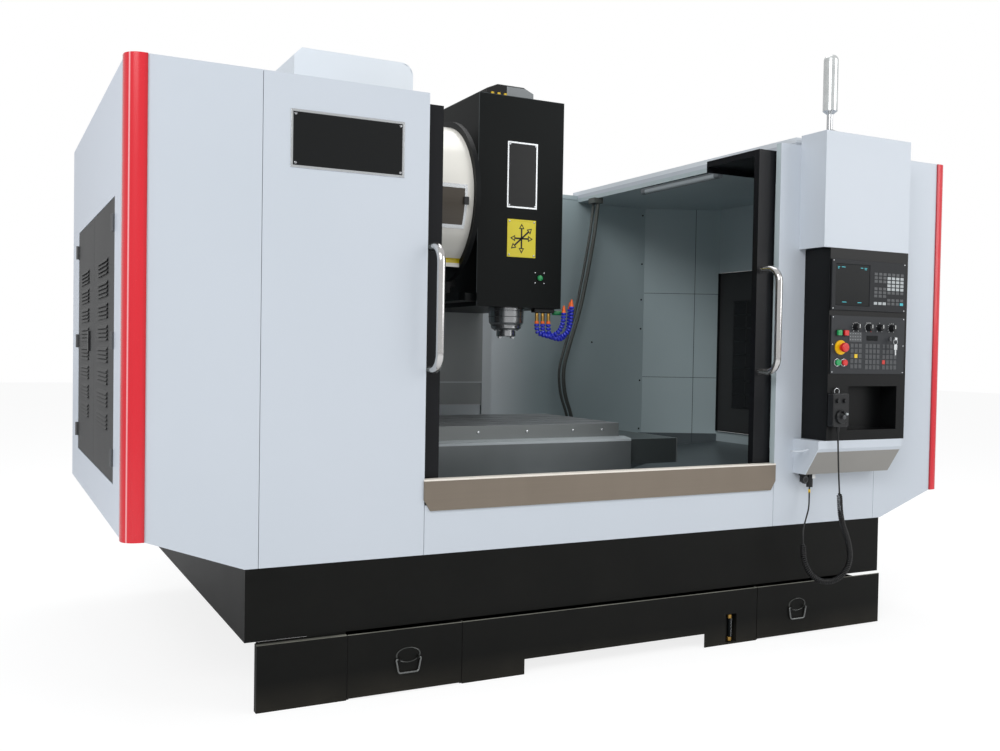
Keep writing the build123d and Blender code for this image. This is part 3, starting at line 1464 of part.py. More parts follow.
# Signal lamp: a turned column with a collar, a waist and a domed top
with BuildPart() as signal_lamp:
    with BuildSketch(Plane.XZ.offset(-back(lamp_depth))):
        with BuildLine():
            Polyline(
                (lamp_x, rail_top),
                (lamp_x + lamp_radius + 8, rail_top),
                (lamp_x + lamp_radius + 8, rail_top + 10),
                (lamp_x + 13, rail_top + 22),
                (lamp_x + 13, rail_top + 86),
                (lamp_x + lamp_radius, rail_top + 100),
                (lamp_x + lamp_radius, rail_top + lamp_height - 24),
            )
            RadiusArc((lamp_x + lamp_radius, rail_top + lamp_height - 24),
                      (lamp_x + lamp_radius - 24, rail_top + lamp_height), -24)
            Polyline((lamp_x + lamp_radius - 24, rail_top + lamp_height),
                     (lamp_x, rail_top + lamp_height), (lamp_x, rail_top))
        make_face()
    revolve(axis=Axis((lamp_x, back(lamp_depth), 0), (0, 0, 1)))
finish(signal_lamp, "signal_lamp")

# Work lamp: a slim bar under the roof's inner rail
with BuildPart() as work_lamp:
    lamp_mid = rail_x + work_lamp_size / 2
    block(rail_x - 6, rail_x - 6 + work_lamp_size, work_lamp_front, work_lamp_rear,
          work_lamp_top - work_lamp_size, work_lamp_top)
    fillet(work_lamp.edges().filter_by(Axis.Y).sort_by(Axis.Z)[:2], 10)
    for bracket_d in (work_lamp_front + 40, work_lamp_rear - 80):
        block(lamp_mid - 10, lamp_mid + 10, bracket_d, bracket_d + 40, work_lamp_top, roof_underside)
finish(work_lamp, "work_lamp")

# Conduits: two hoses from a fitting on the roof rail down to the machine
conduit_top = roof_underside - 30
conduit_points = [
    (conduit_x, back(conduit_depth), conduit_top),
    (932, back(1660), 1930),
    (902, back(1680), 1700),
    (862, back(1690), 1480),
    (800, back(1692), 1290),
    (752, back(1694), 1124),
    (775, back(1708), 980),
    (836, back(1722), 850),
    (870, back(1760), 720),
]
with BuildPart() as conduits:
    for shift, radius in ((0, conduit_radius), (30, conduit_radius - 3)):
        hose_points = [(x - shift * 0.4, y + shift, z) for x, y, z in conduit_points]
        tube, run_length = cord_tube(hose_points, radius, 5 * radius)
    block(conduit_x - 36, conduit_x + 22, conduit_depth - 18, conduit_depth + 46, conduit_top, roof_underside)
finish(conduits, "conduits")

# Electrical cabinet behind the column, with its hinged door
cabinet_top = cabinet_bottom + cabinet_height
cabinet_rear = cabinet_front + cabinet_depth
with BuildPart() as electrical_cabinet:
    block(-cabinet_half_x, cabinet_half_x, cabinet_front, cabinet_rear, cabinet_bottom, cabinet_top)
    block(-cabinet_half_x + skin, cabinet_half_x - skin, cabinet_front + skin, cabinet_rear + 1,
          cabinet_bottom + skin, cabinet_top - skin, Mode.SUBTRACT)
    block(-cabinet_half_x + 40, cabinet_half_x - 40, cabinet_front + skin, cabinet_front + 2 * skin,
          cabinet_bottom + 60, cabinet_top - 60)
    for bracket_z in (cabinet_bottom + 150, cabinet_top - 250):
        block(-column_half_x, column_half_x, column_rear, cabinet_front, bracket_z, bracket_z + 60)
finish(electrical_cabinet, "electrical_cabinet")

with BuildPart() as cabinet_door:
    block(-cabinet_half_x, cabinet_half_x, cabinet_rear + 0.5, cabinet_rear + cabinet_door_thickness,
          cabinet_bottom, cabinet_top)
    block(-cabinet_half_x + skin, cabinet_half_x - skin, cabinet_rear, cabinet_rear + cabinet_door_thickness - skin,
          cabinet_bottom + skin, cabinet_top - skin, Mode.SUBTRACT)
finish(cabinet_door, "cabinet_door")
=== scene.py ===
import math
import bmesh
import bpy
from mathutils import Matrix, Vector


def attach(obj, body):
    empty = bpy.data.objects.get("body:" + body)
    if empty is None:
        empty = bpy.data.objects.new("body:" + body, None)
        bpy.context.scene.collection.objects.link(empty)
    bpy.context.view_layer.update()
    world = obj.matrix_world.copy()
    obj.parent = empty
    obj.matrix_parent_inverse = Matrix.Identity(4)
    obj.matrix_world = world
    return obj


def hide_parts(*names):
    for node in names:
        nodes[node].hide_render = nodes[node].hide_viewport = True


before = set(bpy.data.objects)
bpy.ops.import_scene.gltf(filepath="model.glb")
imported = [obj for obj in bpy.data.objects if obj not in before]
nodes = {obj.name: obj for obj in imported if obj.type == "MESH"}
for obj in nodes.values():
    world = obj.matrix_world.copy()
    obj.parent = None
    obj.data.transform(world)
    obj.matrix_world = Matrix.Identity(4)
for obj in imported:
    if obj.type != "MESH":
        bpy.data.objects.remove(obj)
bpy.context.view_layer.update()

# Places are given in millimetres: x to the operator's right, depth behind the front panels, z up.
# Finishes use metres, because they read Object coordinates.
FRONT = -1.340
SPINDLE_DEPTH = 967
DRUM_Z = 1909
HEAD_FRONT = 835
REAR_WALL = 1860
WALL_CORNER = 1.425


def spot(x, depth, z):
    """A point in metres."""
    return Vector((x / 1000, FRONT + depth / 1000, z / 1000))


# Finishes
class Wire:
    """An output of a shader node. Arithmetic on it adds Math nodes."""

    def __init__(self, finish, socket):
        self.finish = finish
        self.socket = socket

    def maths(self, operation, first, second=None):
        inputs = {0: first} if second is None else {0: first, 1: second}
        return self.finish.node("ShaderNodeMath", {"operation": operation}, inputs)

    def __add__(self, other):
        return self.maths("ADD", self, other)

    def __radd__(self, other):
        return self.maths("ADD", other, self)

    def __sub__(self, other):
        return self.maths("SUBTRACT", self, other)

    def __rsub__(self, other):
        return self.maths("SUBTRACT", other, self)

    def __mul__(self, other):
        return self.maths("MULTIPLY", self, other)

    def __rmul__(self, other):
        return self.maths("MULTIPLY", other, self)

    def __gt__(self, other):
        return self.maths("GREATER_THAN", self, other)

    def __lt__(self, other):
        return self.maths("LESS_THAN", self, other)

    def __abs__(self):
        return self.maths("ABSOLUTE", self)


class Finish:
    """A material built round one Principled shader, patterned on Object coordinates."""

    def __init__(self, name):
        self.material = bpy.data.materials.new(name)
        self.material.use_nodes = True
        self.tree = self.material.node_tree
        self.shader = self.tree.nodes["Principled BSDF"]
        place = self.tree.nodes.new("ShaderNodeTexCoord")
        self.place = Wire(self, place.outputs["Object"])
        split = self.tree.nodes.new("ShaderNodeSeparateXYZ")
        self.tree.links.new(place.outputs["Object"], split.inputs[0])
        self.x = Wire(self, split.outputs[0])
        self.y = Wire(self, split.outputs[1])
        self.z = Wire(self, split.outputs[2])

    def node(self, kind, settings=None, inputs=None, output=0):
        """Any node: its settings first, then the values or links of its sockets."""
        made = self.tree.nodes.new(kind)
        for key, value in (settings or {}).items():
            setattr(made, key, value)
        for key, value in (inputs or {}).items():
            if isinstance(value, Wire):
                self.tree.links.new(value.socket, made.inputs[key])
            else:
                made.inputs[key].default_value = value
        return Wire(self, made.outputs[output])

    def noise(self, scale, detail=3.0, stretch=(1, 1, 1)):
        """A cloudy value between 0 and 1, stretched along an axis where a stretch is given."""
        grain = self.node("ShaderNodeMapping", None, {"Vector": self.place, "Scale": stretch})
        return self.node("ShaderNodeTexNoise", None, {"Vector": grain, "Scale": scale, "Detail": detail})

    def mix(self, factor, first, second):
        """A colour between two colours."""
        return self.node("ShaderNodeMix", {"data_type": "RGBA"}, {0: factor, 6: first, 7: second}, 2)

    def band(self, axis, low, high):
        """1 where a coordinate lies between two places in metres, otherwise 0."""
        return (axis > low) * (axis < high)

    def put(self, **sockets):
        """Set or link sockets of the shader; underscores stand for spaces."""
        for key, value in sockets.items():
            socket = self.shader.inputs[key.replace("_", " ")]
            if isinstance(value, Wire):
                self.tree.links.new(value.socket, socket)
            else:
                socket.default_value = value
        return self

    def bump(self, height, strength, distance=0.001):
        """A fine relief."""
        sockets = {"Height": height, "Strength": strength, "Distance": distance}
        return self.put(Normal=self.node("ShaderNodeBump", None, sockets))


def shade(red, green, blue):
    """A colour given as it looks on a screen, 0 to 255."""
    parts = [part / 255 for part in (red, green, blue)]
    parts = [part / 12.92 if part <= 0.04045 else ((part + 0.055) / 1.055) ** 2.4 for part in parts]
    return (*parts, 1.0)


def coat(name, colour, rough=0.4, metal=0.0, grain=600.0, relief=0.08, vary=0.06, clear=0.0,
         stretch=(1, 1, 1), sheen_level=0.5):
    """A painted, moulded or metal finish: slight cloudiness, a grain in its gloss and a fine relief."""
    finish = Finish(name)
    finish.put(Specular_IOR_Level=sheen_level)
    cloud = finish.noise(3.0, 4.0)
    fine = finish.noise(grain, 2.0, stretch)
    darker = tuple(part * (1 - vary) for part in colour[:3]) + (1.0,)
    lighter = tuple(min(1.0, part * (1 + vary)) for part in colour[:3]) + (1.0,)
    finish.put(Base_Color=finish.mix(cloud, darker, lighter), Metallic=metal, Coat_Weight=clear)
    finish.put(Roughness=fine * 0.12 + cloud * 0.06 + (rough - 0.09))
    finish.bump(fine, relief, 0.0005)
    return finish


WHITE = shade(196, 204, 212)
# Painted shade: the work area's white sheet darkened to grey blue.
INNER_SHADE = shade(170, 186, 190)
BLACK = shade(12, 12, 12)
DULL = 0.12


def panel_white():
    """Powder coat, with painted light on the left side panel and the hood, and painted shade inside the work
    area, which makes it grey blue there.
    """
    finish = coat("powder_white", WHITE, 0.38, 0.0, 900.0, 0.05, 0.02)
    skin_x, skin_front, skin_rear = 1.8482, FRONT + 0.0015, FRONT + 1.936
    tray_floor, tray_top, tray_left, tray_right = 2.1255, 2.1465, -0.9375, 0.9835
    side_sheet, hood_foot = -1.8485, 2.166
    inside = finish.band(finish.x, -skin_x, skin_x) * finish.band(finish.y, skin_front, skin_rear)
    tray = (finish.z > tray_floor) * ((finish.x < tray_left) + (finish.x > tray_right))
    tray = tray + (finish.z > tray_top)
    cloud = finish.noise(1.4, 3.0)
    # Painted shade: the work area's white paint is darkened to grey blue.
    inner = finish.mix(cloud, shade(168, 184, 188), shade(196, 208, 212))
    outer = finish.mix(cloud, shade(193, 201, 210), shade(199, 206, 215))
    # Painted light: the left side panel is made lighter.
    outer = finish.mix(finish.x < side_sheet, outer, shade(212, 221, 234))
    # Painted light: the hood is made lighter.
    outer = finish.mix(finish.z > hood_foot, outer, shade(224, 231, 238))
    finish.put(Base_Color=finish.mix(inside * (tray < 0.5), outer, inner))
    return finish.material


def seam_sheet():
    """Sheet walls of the work area: joints, painted shade in their grey blue, painted light in a lighter
    stretch beside the column, white at the rear.
    """
    finish = coat("guard_paint", INNER_SHADE, 0.35, 0.0, 700.0, 0.05, 0.05)
    cloud = finish.noise(1.1, 3.0)
    # Painted light: a lighter stretch of wall beside the column.
    near = finish.node("ShaderNodeMapRange", {"interpolation_type": "SMOOTHSTEP"},
                       {0: abs(finish.x), 1: 0.34, 2: 0.72, 3: 1.0, 4: 0.0})
    # Painted shade: the white walls are darkened to grey blue.
    wall = finish.mix(cloud, shade(160, 178, 182), shade(188, 204, 208))
    wall = finish.mix(near * 0.9, wall, shade(236, 242, 246))
    pan_edge, seam, slope = 0.735, 0.003, 0.4933
    wall = finish.mix(finish.z < pan_edge, wall, shade(84, 93, 97))
    lines = finish.band(finish.z, 1.6005, 1.6005 + seam) + finish.band(finish.z, 1.0805, 1.0805 + seam)
    lines = (lines + finish.band(abs(finish.x), 1.708, 1.708 + seam)) * (abs(finish.x) > WALL_CORNER + 0.0005)
    wall = finish.mix(lines, wall, shade(58, 66, 70))
    slant = finish.node("ShaderNodeMath", {"operation": "MAXIMUM"}, {0: abs(finish.x) - WALL_CORNER, 1: 0.0})
    behind = (finish.y + slant * slope > FRONT + REAR_WALL / 1000 + 0.0013) * (finish.z > pan_edge)
    finish.put(Base_Color=finish.mix(behind, wall, WHITE))
    return finish.material


def sill_steel():
    """Brushed sheet: long scratches along X, a painted highlight along the folded top edge, faint stains."""
    finish = Finish("sill_steel")
    colour = shade(132, 122, 110)
    fold_foot = 0.7535
    # Painted highlight: a bright band along the top fold.
    fold_highlight = finish.z > fold_foot
    streaks = finish.noise(1.0, 2.0, (9.0, 1.0, 1.0))
    brush = finish.noise(1.0, 4.0, (2.0, 260.0, 260.0))
    stain = finish.noise(5.0, 5.0)
    base = finish.mix(brush, tuple(part * 0.82 for part in colour[:3]) + (1.0,), colour)
    base = finish.mix(streaks * 0.35, base, shade(150, 140, 128))
    base = finish.mix(stain * 0.25, base, shade(120, 108, 96))
    finish.put(Base_Color=finish.mix(fold_highlight, base, shade(232, 226, 216)), Metallic=(1 - fold_highlight) * 0.75)
    finish.put(Roughness=brush * 0.18 + stain * 0.1 + 0.26)
    finish.bump(brush, 0.05, 0.0004)
    return finish.material


def door_paint():
    """Black door frames; the handles in front of them are polished tube."""
    finish = Finish("door_black")
    door_face = FRONT + 0.0372
    handle = finish.y < door_face
    fine = finish.noise(800.0, 2.0)
    cloud = finish.noise(2.0, 3.0)
    frame_colour = finish.mix(cloud, shade(14, 15, 17), shade(21, 22, 26))
    finish.put(Specular_IOR_Level=0.2)
    finish.put(Base_Color=finish.mix(handle, frame_colour, shade(200, 199, 198)), Metallic=handle * 0.95)
    finish.put(Roughness=(1 - handle) * (fine * 0.1 + 0.3) + handle * (cloud * 0.06 + 0.1))
    finish.bump(fine, 0.04, 0.0004)
    return finish.material


def table_iron():
    """Machined iron: fine marks along X, oil stains on top, painted shade on the front, darker to the right.
    """
    finish = Finish("table_iron")
    along = finish.noise(1.0, 3.0, (3.0, 320.0, 320.0))
    stain = finish.noise(7.0, 6.0)
    base = finish.mix(along, shade(128, 132, 135), shade(164, 168, 172))
    top_face = 0.8985
    below = finish.z < top_face
    grey = finish.mix(stain * 0.5, base, shade(86, 84, 80))
    # Painted shade: the front face darkens to the right.
    painted_shade_right = finish.node("ShaderNodeMapRange", None, {0: finish.x, 1: -0.5, 2: 0.45, 3: 0.0, 4: 0.5})
    front = finish.mix(painted_shade_right, shade(136, 140, 140), shade(66, 74, 75))
    finish.put(Base_Color=finish.mix(below, grey, front), Metallic=0.45)
    finish.put(Roughness=stain * 0.2 + along * 0.1 + 0.24)
    finish.bump(along, 0.06, 0.0004)
    return finish.material


def column_cover():
    """Light grey sheet of the telescopic cover, with a painted highlight on the folded edge of each step."""
    finish = coat("column_cover", shade(176, 180, 180), 0.34, 0.2, 500.0, 0.05, 0.04)
    cloud = finish.noise(2.0, 3.0)
    fold_highlight, middle_foot, low_foot = 0.0065, 1.0495, 0.9255
    # Painted highlight: a bright band at the foot of each step.
    step_highlights = finish.band(finish.z, middle_foot, middle_foot + fold_highlight)
    step_highlights = step_highlights + finish.band(finish.z, low_foot, low_foot + fold_highlight)
    grey = finish.mix(cloud, shade(168, 172, 172), shade(186, 190, 190))
    finish.put(Base_Color=finish.mix(step_highlights, grey, shade(226, 230, 232)))
    return finish.material


def cover_steel():
    """Reflective sheet of the table's apron, with painted shade darkening it to the right and painted
    highlights on its ledge and on the end covers' outer edge; the end covers are darker.
    """
    finish = Finish("apron_steel")
    brush = finish.noise(1.0, 3.0, (2.5, 220.0, 220.0))
    cloud = finish.noise(2.5, 4.0)
    base = finish.mix(cloud, shade(104, 110, 112), shade(142, 148, 150))
    ledge_low, ledge_high, end_start, end_top, rim_highlight_start = 0.8195, 0.8395, 0.4275, 0.8235, 0.748
    # Painted highlight: a bright band along the ledge.
    ledge_highlight = finish.band(finish.z, ledge_low, ledge_high)
    # Painted shade: the apron darkens to the right.
    painted_shade_right = finish.node("ShaderNodeMapRange", None, {0: finish.x, 1: -0.2, 2: 0.45, 3: 0.0, 4: 0.45})
    base = finish.mix(painted_shade_right, base, shade(62, 68, 70))
    base = finish.mix(ledge_highlight, base, shade(196, 204, 208))
    ends = (finish.x > end_start) * (finish.z < end_top) * (finish.y > FRONT + 0.5995)
    # Painted highlight: the end covers' outer edge is made lighter.
    rim = ends * (finish.x > rim_highlight_start)
    base = finish.mix(ends, base, shade(92, 99, 100))
    finish.put(Base_Color=finish.mix(rim, base, shade(150, 156, 158)), Metallic=0.45 + ends * 0.2)
    finish.put(Roughness=brush * 0.16 + cloud * 0.08 + 0.2)
    finish.bump(brush, 0.04, 0.0004)
    return finish.material


def console_paint():
    """Black box with charcoal control units, a dark pane and a yellow ring round the stop button."""
    finish = Finish("console_black")
    box_face, unit_face, ring_face = FRONT - 0.1505, FRONT - 0.1575, FRONT - 0.1565
    stop_x, stop_z, ring_square = 1.035, 1.268, 0.0011
    units_meet = 1.42
    unit = finish.y < box_face
    pane = unit * finish.band(finish.x, 1.0002, 1.1998) * finish.band(finish.z, 1.4492, 1.6268)
    pane = pane * (finish.y > unit_face)
    dx = finish.x - stop_x
    dz = finish.z - stop_z
    ring = (finish.y < ring_face) * (dx * dx + dz * dz < ring_square)
    fine = finish.noise(1200.0, 2.0)
    cloud = finish.noise(4.0, 3.0)
    finish.put(Specular_IOR_Level=0.2)
    box_colour = finish.mix(cloud, shade(9, 10, 11), shade(15, 16, 17))
    unit_colour = finish.mix(finish.z > units_meet, shade(50, 52, 55), shade(32, 34, 37))
    colour = finish.mix(unit, box_colour, unit_colour)
    colour = finish.mix(ring, colour, shade(240, 190, 24))
    finish.put(Base_Color=finish.mix(pane, colour, shade(16, 30, 34)))
    finish.put(Roughness=fine * 0.12 + unit * 0.12 + 0.28)
    finish.bump(fine, 0.1, 0.0004)
    return finish.material


def lamp_glass():
    """Signal lamp: bright foot and waist, clear ribbed lenses above."""
    finish = Finish("lamp_lens")
    lens_foot = 2.290
    lens = finish.z > lens_foot
    ribs = finish.node("ShaderNodeTexWave", {"wave_type": "BANDS", "bands_direction": "Z"},
                       {"Vector": finish.place, "Scale": 110.0})
    cloud = finish.noise(14.0, 3.0)
    lens_colour = finish.mix(cloud, shade(176, 180, 180), shade(226, 229, 229))
    finish.put(Base_Color=finish.mix(lens, shade(196, 198, 200), lens_colour))
    finish.put(Metallic=0.55 + (1 - lens) * 0.4, Roughness=0.16 + cloud * 0.12, Coat_Weight=0.6)
    finish.bump(ribs * lens, 0.05, 0.0005)
    return finish.material


def work_light():
    """A ribbed diffuser with grey end caps and top, and slight painted shade between its ribs."""
    finish = Finish("work_light")
    tube_front, tube_rear, tube_top = FRONT + 0.590, FRONT + 1.166, 2.1075
    caps = (finish.y < tube_front) + (finish.y > tube_rear)
    top = finish.z > tube_top
    ribs = finish.node("ShaderNodeTexWave", {"wave_type": "BANDS", "bands_direction": "X"},
                       {"Vector": finish.place, "Scale": 90.0})
    # Painted shade: the grooves between the ribs are slightly darker.
    dull = finish.mix(ribs * 0.2, shade(156, 164, 168), shade(132, 140, 146))
    finish.put(Base_Color=finish.mix(caps + top, dull, shade(92, 98, 102)))
    finish.put(Roughness=0.22 + ribs * 0.1)
    finish.bump(ribs, 0.08, 0.0006)
    return finish.material


def ribbed_hose():
    """A grey spiral hose, with painted shade in the grooves between its ribs."""
    finish = Finish("spiral_hose")
    ribs = finish.node("ShaderNodeTexWave", {"wave_type": "BANDS", "bands_direction": "Z"},
                       {"Vector": finish.place, "Scale": 60.0, "Distortion": 0.4})
    # Painted shade: the darker bands lie in the grooves between the ribs.
    finish.put(Base_Color=finish.mix(ribs, shade(52, 56, 54), shade(104, 108, 104)))
    finish.put(Roughness=0.38 + ribs * 0.12)
    finish.bump(ribs, 0.35, 0.0015)
    return finish.material


def magazine_paint():
    """Cream white gloss with a yellow band across the chute's foot."""
    finish = coat("magazine_cream", shade(228, 226, 218), 0.22, 0.0, 500.0, 0.03, 0.02, 0.3)
    band_low, band_high, chute_rear = 1.617, 1.638, FRONT + 0.769
    yellow = finish.band(finish.z, band_low, band_high) * (finish.y < chute_rear)
    cloud = finish.noise(2.0, 3.0)
    cream = finish.mix(cloud, shade(222, 220, 212), shade(236, 235, 229))
    finish.put(Base_Color=finish.mix(yellow, cream, shade(214, 190, 26)))
    return finish.material


def head_sheet():
    """Black head cover with a painted highlight along its front and top edges."""
    finish = Finish("head_black")
    fine = finish.noise(900.0, 2.0)
    cloud = finish.noise(2.2, 4.0)
    half_width, edge_width, front_face, top_edge = 0.225, 0.0022, FRONT + 0.8372, 2.4095
    # Painted highlight: a light line along the front and top edges.
    edge_highlight = abs(abs(finish.x) - half_width) < edge_width
    edge_highlight = edge_highlight * (finish.y < front_face) + (finish.z > top_edge)
    finish.put(Specular_IOR_Level=0.12)
    base = finish.mix(cloud, shade(9, 12, 12), shade(14, 18, 18))
    finish.put(Base_Color=finish.mix(edge_highlight * 0.7, base, shade(78, 84, 86)))
    finish.put(Roughness=fine * 0.12 + cloud * 0.06 + 0.34)
    finish.bump(fine, 0.08, 0.0004)
    return finish.material


def louvre_grey():
    """Dark grey paint on the side doors, lighter on the hinge knuckles, with painted shade on the inner
    faces.
    """
    finish = coat("louvre_grey", shade(60, 61, 62), 0.5, 0.0, 900.0, 0.09, 0.04, sheen_level=0.15)
    inner_face, outer_face, front_hinge, rear_hinge = 1.8445, 1.8492, FRONT + 0.31, FRONT + 1.628
    inner = abs(finish.x) < inner_face
    knuckle = (abs(finish.x) > outer_face) * ((finish.y < front_hinge) + (finish.y > rear_hinge))
    cloud = finish.noise(2.0, 3.0)
    leaf = finish.mix(knuckle, finish.mix(cloud, shade(56, 57, 58), shade(66, 67, 68)), shade(96, 97, 98))
    # Painted shade: the inner faces are darkened.
    finish.put(Base_Color=finish.mix(inner, leaf, shade(26, 28, 30)))
    return finish.material


def tank_black():
    """Black sheet with dust along its lower edge, a painted highlight on the skirt's top edge and painted
    shade on the left side.
    """
    finish = coat("tank_black", BLACK, 0.45, 0.0, 900.0, 0.1, 0.1, sheen_level=DULL)
    cloud = finish.noise(5.0, 6.0)
    dust_top, dust_gain, shaded_side_x = 0.10, 4.0, -1.4648
    skirt_low, skirt_high, skirt_face = 0.2275, 0.2302, FRONT + 0.002
    dust = finish.node("ShaderNodeClamp", None, {0: (dust_top - finish.z) * dust_gain * cloud})
    # Painted highlight: a lighter line on the skirt's top edge.
    skirt_highlight = finish.band(finish.z, skirt_low, skirt_high) * (finish.y < skirt_face)
    base = finish.mix(cloud, shade(11, 12, 11), shade(20, 20, 18))
    base = finish.mix(skirt_highlight * cloud * 1.6, base, shade(120, 120, 112))
    # Painted shade: the left side is darkened.
    base = finish.mix(finish.x < shaded_side_x, base, shade(3, 3, 3))
    finish.put(Base_Color=finish.mix(dust, base, shade(74, 70, 62)))
    return finish.material


white = panel_white()
black = tank_black()
chrome = coat("polished_chrome", shade(172, 173, 176), 0.12, 0.95, 300.0, 0.02, 0.03).material
steel = coat("ground_steel", shade(168, 170, 172), 0.24, 0.9, 500.0, 0.04, 0.06, 0.0, (1, 1, 12)).material
iron = coat("casting_grey", shade(150, 158, 162), 0.5, 0.1, 200.0, 0.25, 0.06).material
rubber = coat("black_rubber", shade(18, 18, 19), 0.4, 0.0, 700.0, 0.1, 0.1, sheen_level=0.4).material
plastic = coat("black_plastic", shade(24, 25, 27), 0.36, 0.0, 1100.0, 0.12, 0.08, sheen_level=0.35).material
red_cap = coat("red_cap", shade(206, 34, 30), 0.28, 0.0, 700.0, 0.03, 0.04, 0.3).material
green_cap = coat("green_cap", shade(30, 150, 84), 0.28, 0.0, 700.0, 0.03, 0.04, 0.3).material
magazine_black = coat("magazine_black", shade(18, 20, 21), 0.4, 0.0, 600.0, 0.1, 0.1,
                      sheen_level=DULL).material
pot_black = coat("pot_black", shade(26, 27, 28), 0.36, 0.0, 800.0, 0.08, 0.08, sheen_level=0.3).material
cabinet_white = coat("cabinet_white", WHITE, 0.4, 0.0, 900.0, 0.05, 0.02).material


def strip_red():
    """Red gloss with a painted highlight down the bend and painted shade toward the inner edge."""
    finish = coat("signal_red", shade(212, 26, 42), 0.25, 0.0, 300.0, 0.02, 0.03, 0.15)
    cloud = finish.noise(3.0, 3.0)
    bend_x, bend_front = 1.8415, FRONT + 0.012
    across = abs(finish.x) - bend_x
    # Painted highlight: a bright line down the bend.
    glint = finish.node("ShaderNodeMapRange", {"interpolation_type": "SMOOTHSTEP"},
                        {0: abs(across), 1: 0.0, 2: 0.0035, 3: 0.75, 4: 0.0})
    glint = glint * (finish.y < bend_front)
    # Painted shade: darker toward the inner edge.
    inner = finish.node("ShaderNodeMapRange", None, {0: abs(finish.x), 1: 1.80, 2: 1.786, 3: 0.0, 4: 0.7})
    red = finish.mix(cloud, shade(210, 24, 40), shade(216, 30, 46))
    red = finish.mix(inner, red, shade(158, 16, 28))
    finish.put(Base_Color=finish.mix(glint, red, shade(250, 196, 200)))
    return finish.material


def fan_paint():
    """Grey cowl, black on the side toward the magazine."""
    finish = coat("fan_grey", shade(128, 132, 134), 0.42, 0.3, 500.0, 0.1, 0.05, sheen_level=0.3)
    cloud = finish.noise(5.0, 3.0)
    grey = finish.mix(cloud, shade(118, 122, 124), shade(140, 144, 146))
    rim_foot, black_side = 2.489, -0.02
    grey = finish.mix(finish.z > rim_foot, grey, shade(58, 60, 62))
    finish.put(Base_Color=finish.mix(finish.x < black_side, grey, shade(20, 20, 20)))
    return finish.material


def housing_paint():
    """White rail column and shelf; the shelf's slanted underside has painted shade in warm grey."""
    finish = coat("housing_white", WHITE, 0.38, 0.0, 900.0, 0.05, 0.02)
    cloud = finish.noise(2.5, 3.0)
    under_low, under_high, shelf_front, shelf_left = 0.66, 0.817, FRONT - 0.002, 0.9345
    # Painted shade on the shelf's slanted underside.
    under = finish.band(finish.z, under_low, under_high) * (finish.y < shelf_front) * (finish.x > shelf_left)
    light = finish.mix(cloud, shade(194, 202, 211), shade(200, 207, 216))
    shaded = finish.mix(cloud, shade(136, 134, 129), shade(152, 150, 146))
    finish.put(Base_Color=finish.mix(under, light, shaded))
    return finish.material


def pane_clear():
    """Clear safety glass with a faint haze."""
    finish = Finish("safety_glass")
    haze = finish.noise(3.0, 4.0)
    finish.put(Base_Color=shade(226, 236, 238), Roughness=0.04 + haze * 0.05, Alpha=0.16 + haze * 0.1,
               Metallic=0.0, Coat_Weight=0.4)
    return finish.material


pane = pane_clear()
bail_wire = coat("bail_wire", shade(112, 114, 113), 0.25, 0.7, 400.0, 0.03, 0.05).material
door_black = door_paint()
dress = {
    "base_box": black, "coolant_tank": black, "chip_drawer_left": black, "chip_drawer_right": black,
    "bed": iron, "column": iron, "head_casting": iron, "saddle": iron,
    "cabinet_door": cabinet_white, "electrical_cabinet": cabinet_white,
    "conduits": ribbed_hose(), "console_box": console_paint(),
    "console_housing": housing_paint(),
    "corner_strips": strip_red(), "cord_fittings": plastic,
    "cycle_start_button": green_cap, "power_on_button": green_cap, "feed_hold_button": red_cap,
    "power_off_button": red_cap, "emergency_stop": red_cap,
    "door_left": door_black, "door_right": door_black, "door_glass_left": pane, "door_glass_right": pane,
    "drawer_bail_left": bail_wire, "drawer_bail_right": bail_wire,
    "enclosure_panels": white, "side_panel_left": white, "side_panel_right": white,
    "fan_cowl": fan_paint(), "feed_knob": plastic, "mode_knob": plastic, "rapid_knob": plastic,
    "spindle_knob": plastic, "head_cover": head_sheet(),
    "inner_guards": seam_sheet(), "z_cover_middle": column_cover(), "z_cover_upper": column_cover(),
    "key_switch": chrome, "magazine_cover": magazine_paint(), "magazine_disc": pot_black,
    "magazine_plate": magazine_black, "pendant": plastic, "pendant_wheel": plastic,
    "side_door_left_front": louvre_grey(), "side_latch_left": plastic, "side_latch_right": plastic,
    "signal_lamp": lamp_glass(), "sill": sill_steel(), "spindle": steel,
    "spindle_sleeve": steel, "table": table_iron(), "table_covers": cover_steel(),
    "work_lamp": work_light(),
}
for leaf in ("side_door_left_rear", "side_door_right_front", "side_door_right_rear"):
    dress[leaf] = dress["side_door_left_front"]
for node_name, material in dress.items():
    nodes[node_name].data.materials.clear()
    nodes[node_name].data.materials.append(material)


# Making pieces
def clear():
    """Nothing selected, object mode."""
    if bpy.context.object and bpy.context.object.mode != "OBJECT":
        bpy.ops.object.mode_set(mode="OBJECT")
    bpy.ops.object.select_all(action="DESELECT")


def settle(name, material, body, slot):
    """The active piece gets its name, finish and body, with its place in its mesh."""
    piece = bpy.context.object
    bpy.ops.object.transform_apply(location=True, rotation=True, scale=True)
    piece.name = name
    piece.data.name = name
    piece.data.materials.clear()
    piece.data.materials.append(material)
    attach(piece, body)
    return piece


def flat_bar(place, angle, size):
    """A new box in metres, turned about the depth axis."""
    clear()
    bpy.ops.mesh.primitive_cube_add(size=1, location=place, rotation=(0, angle, 0), scale=size)


def thin_ring(place, major, minor, segments, tilt=math.pi / 2):
    """A new thin ring, its radii in millimetres; it faces the operator unless tilt is 0."""
    clear()
    bpy.ops.mesh.primitive_torus_add(location=spot(*place), rotation=(tilt, 0, 0), major_segments=segments,
                                     minor_segments=8, major_radius=major / 1000, minor_radius=minor / 1000)


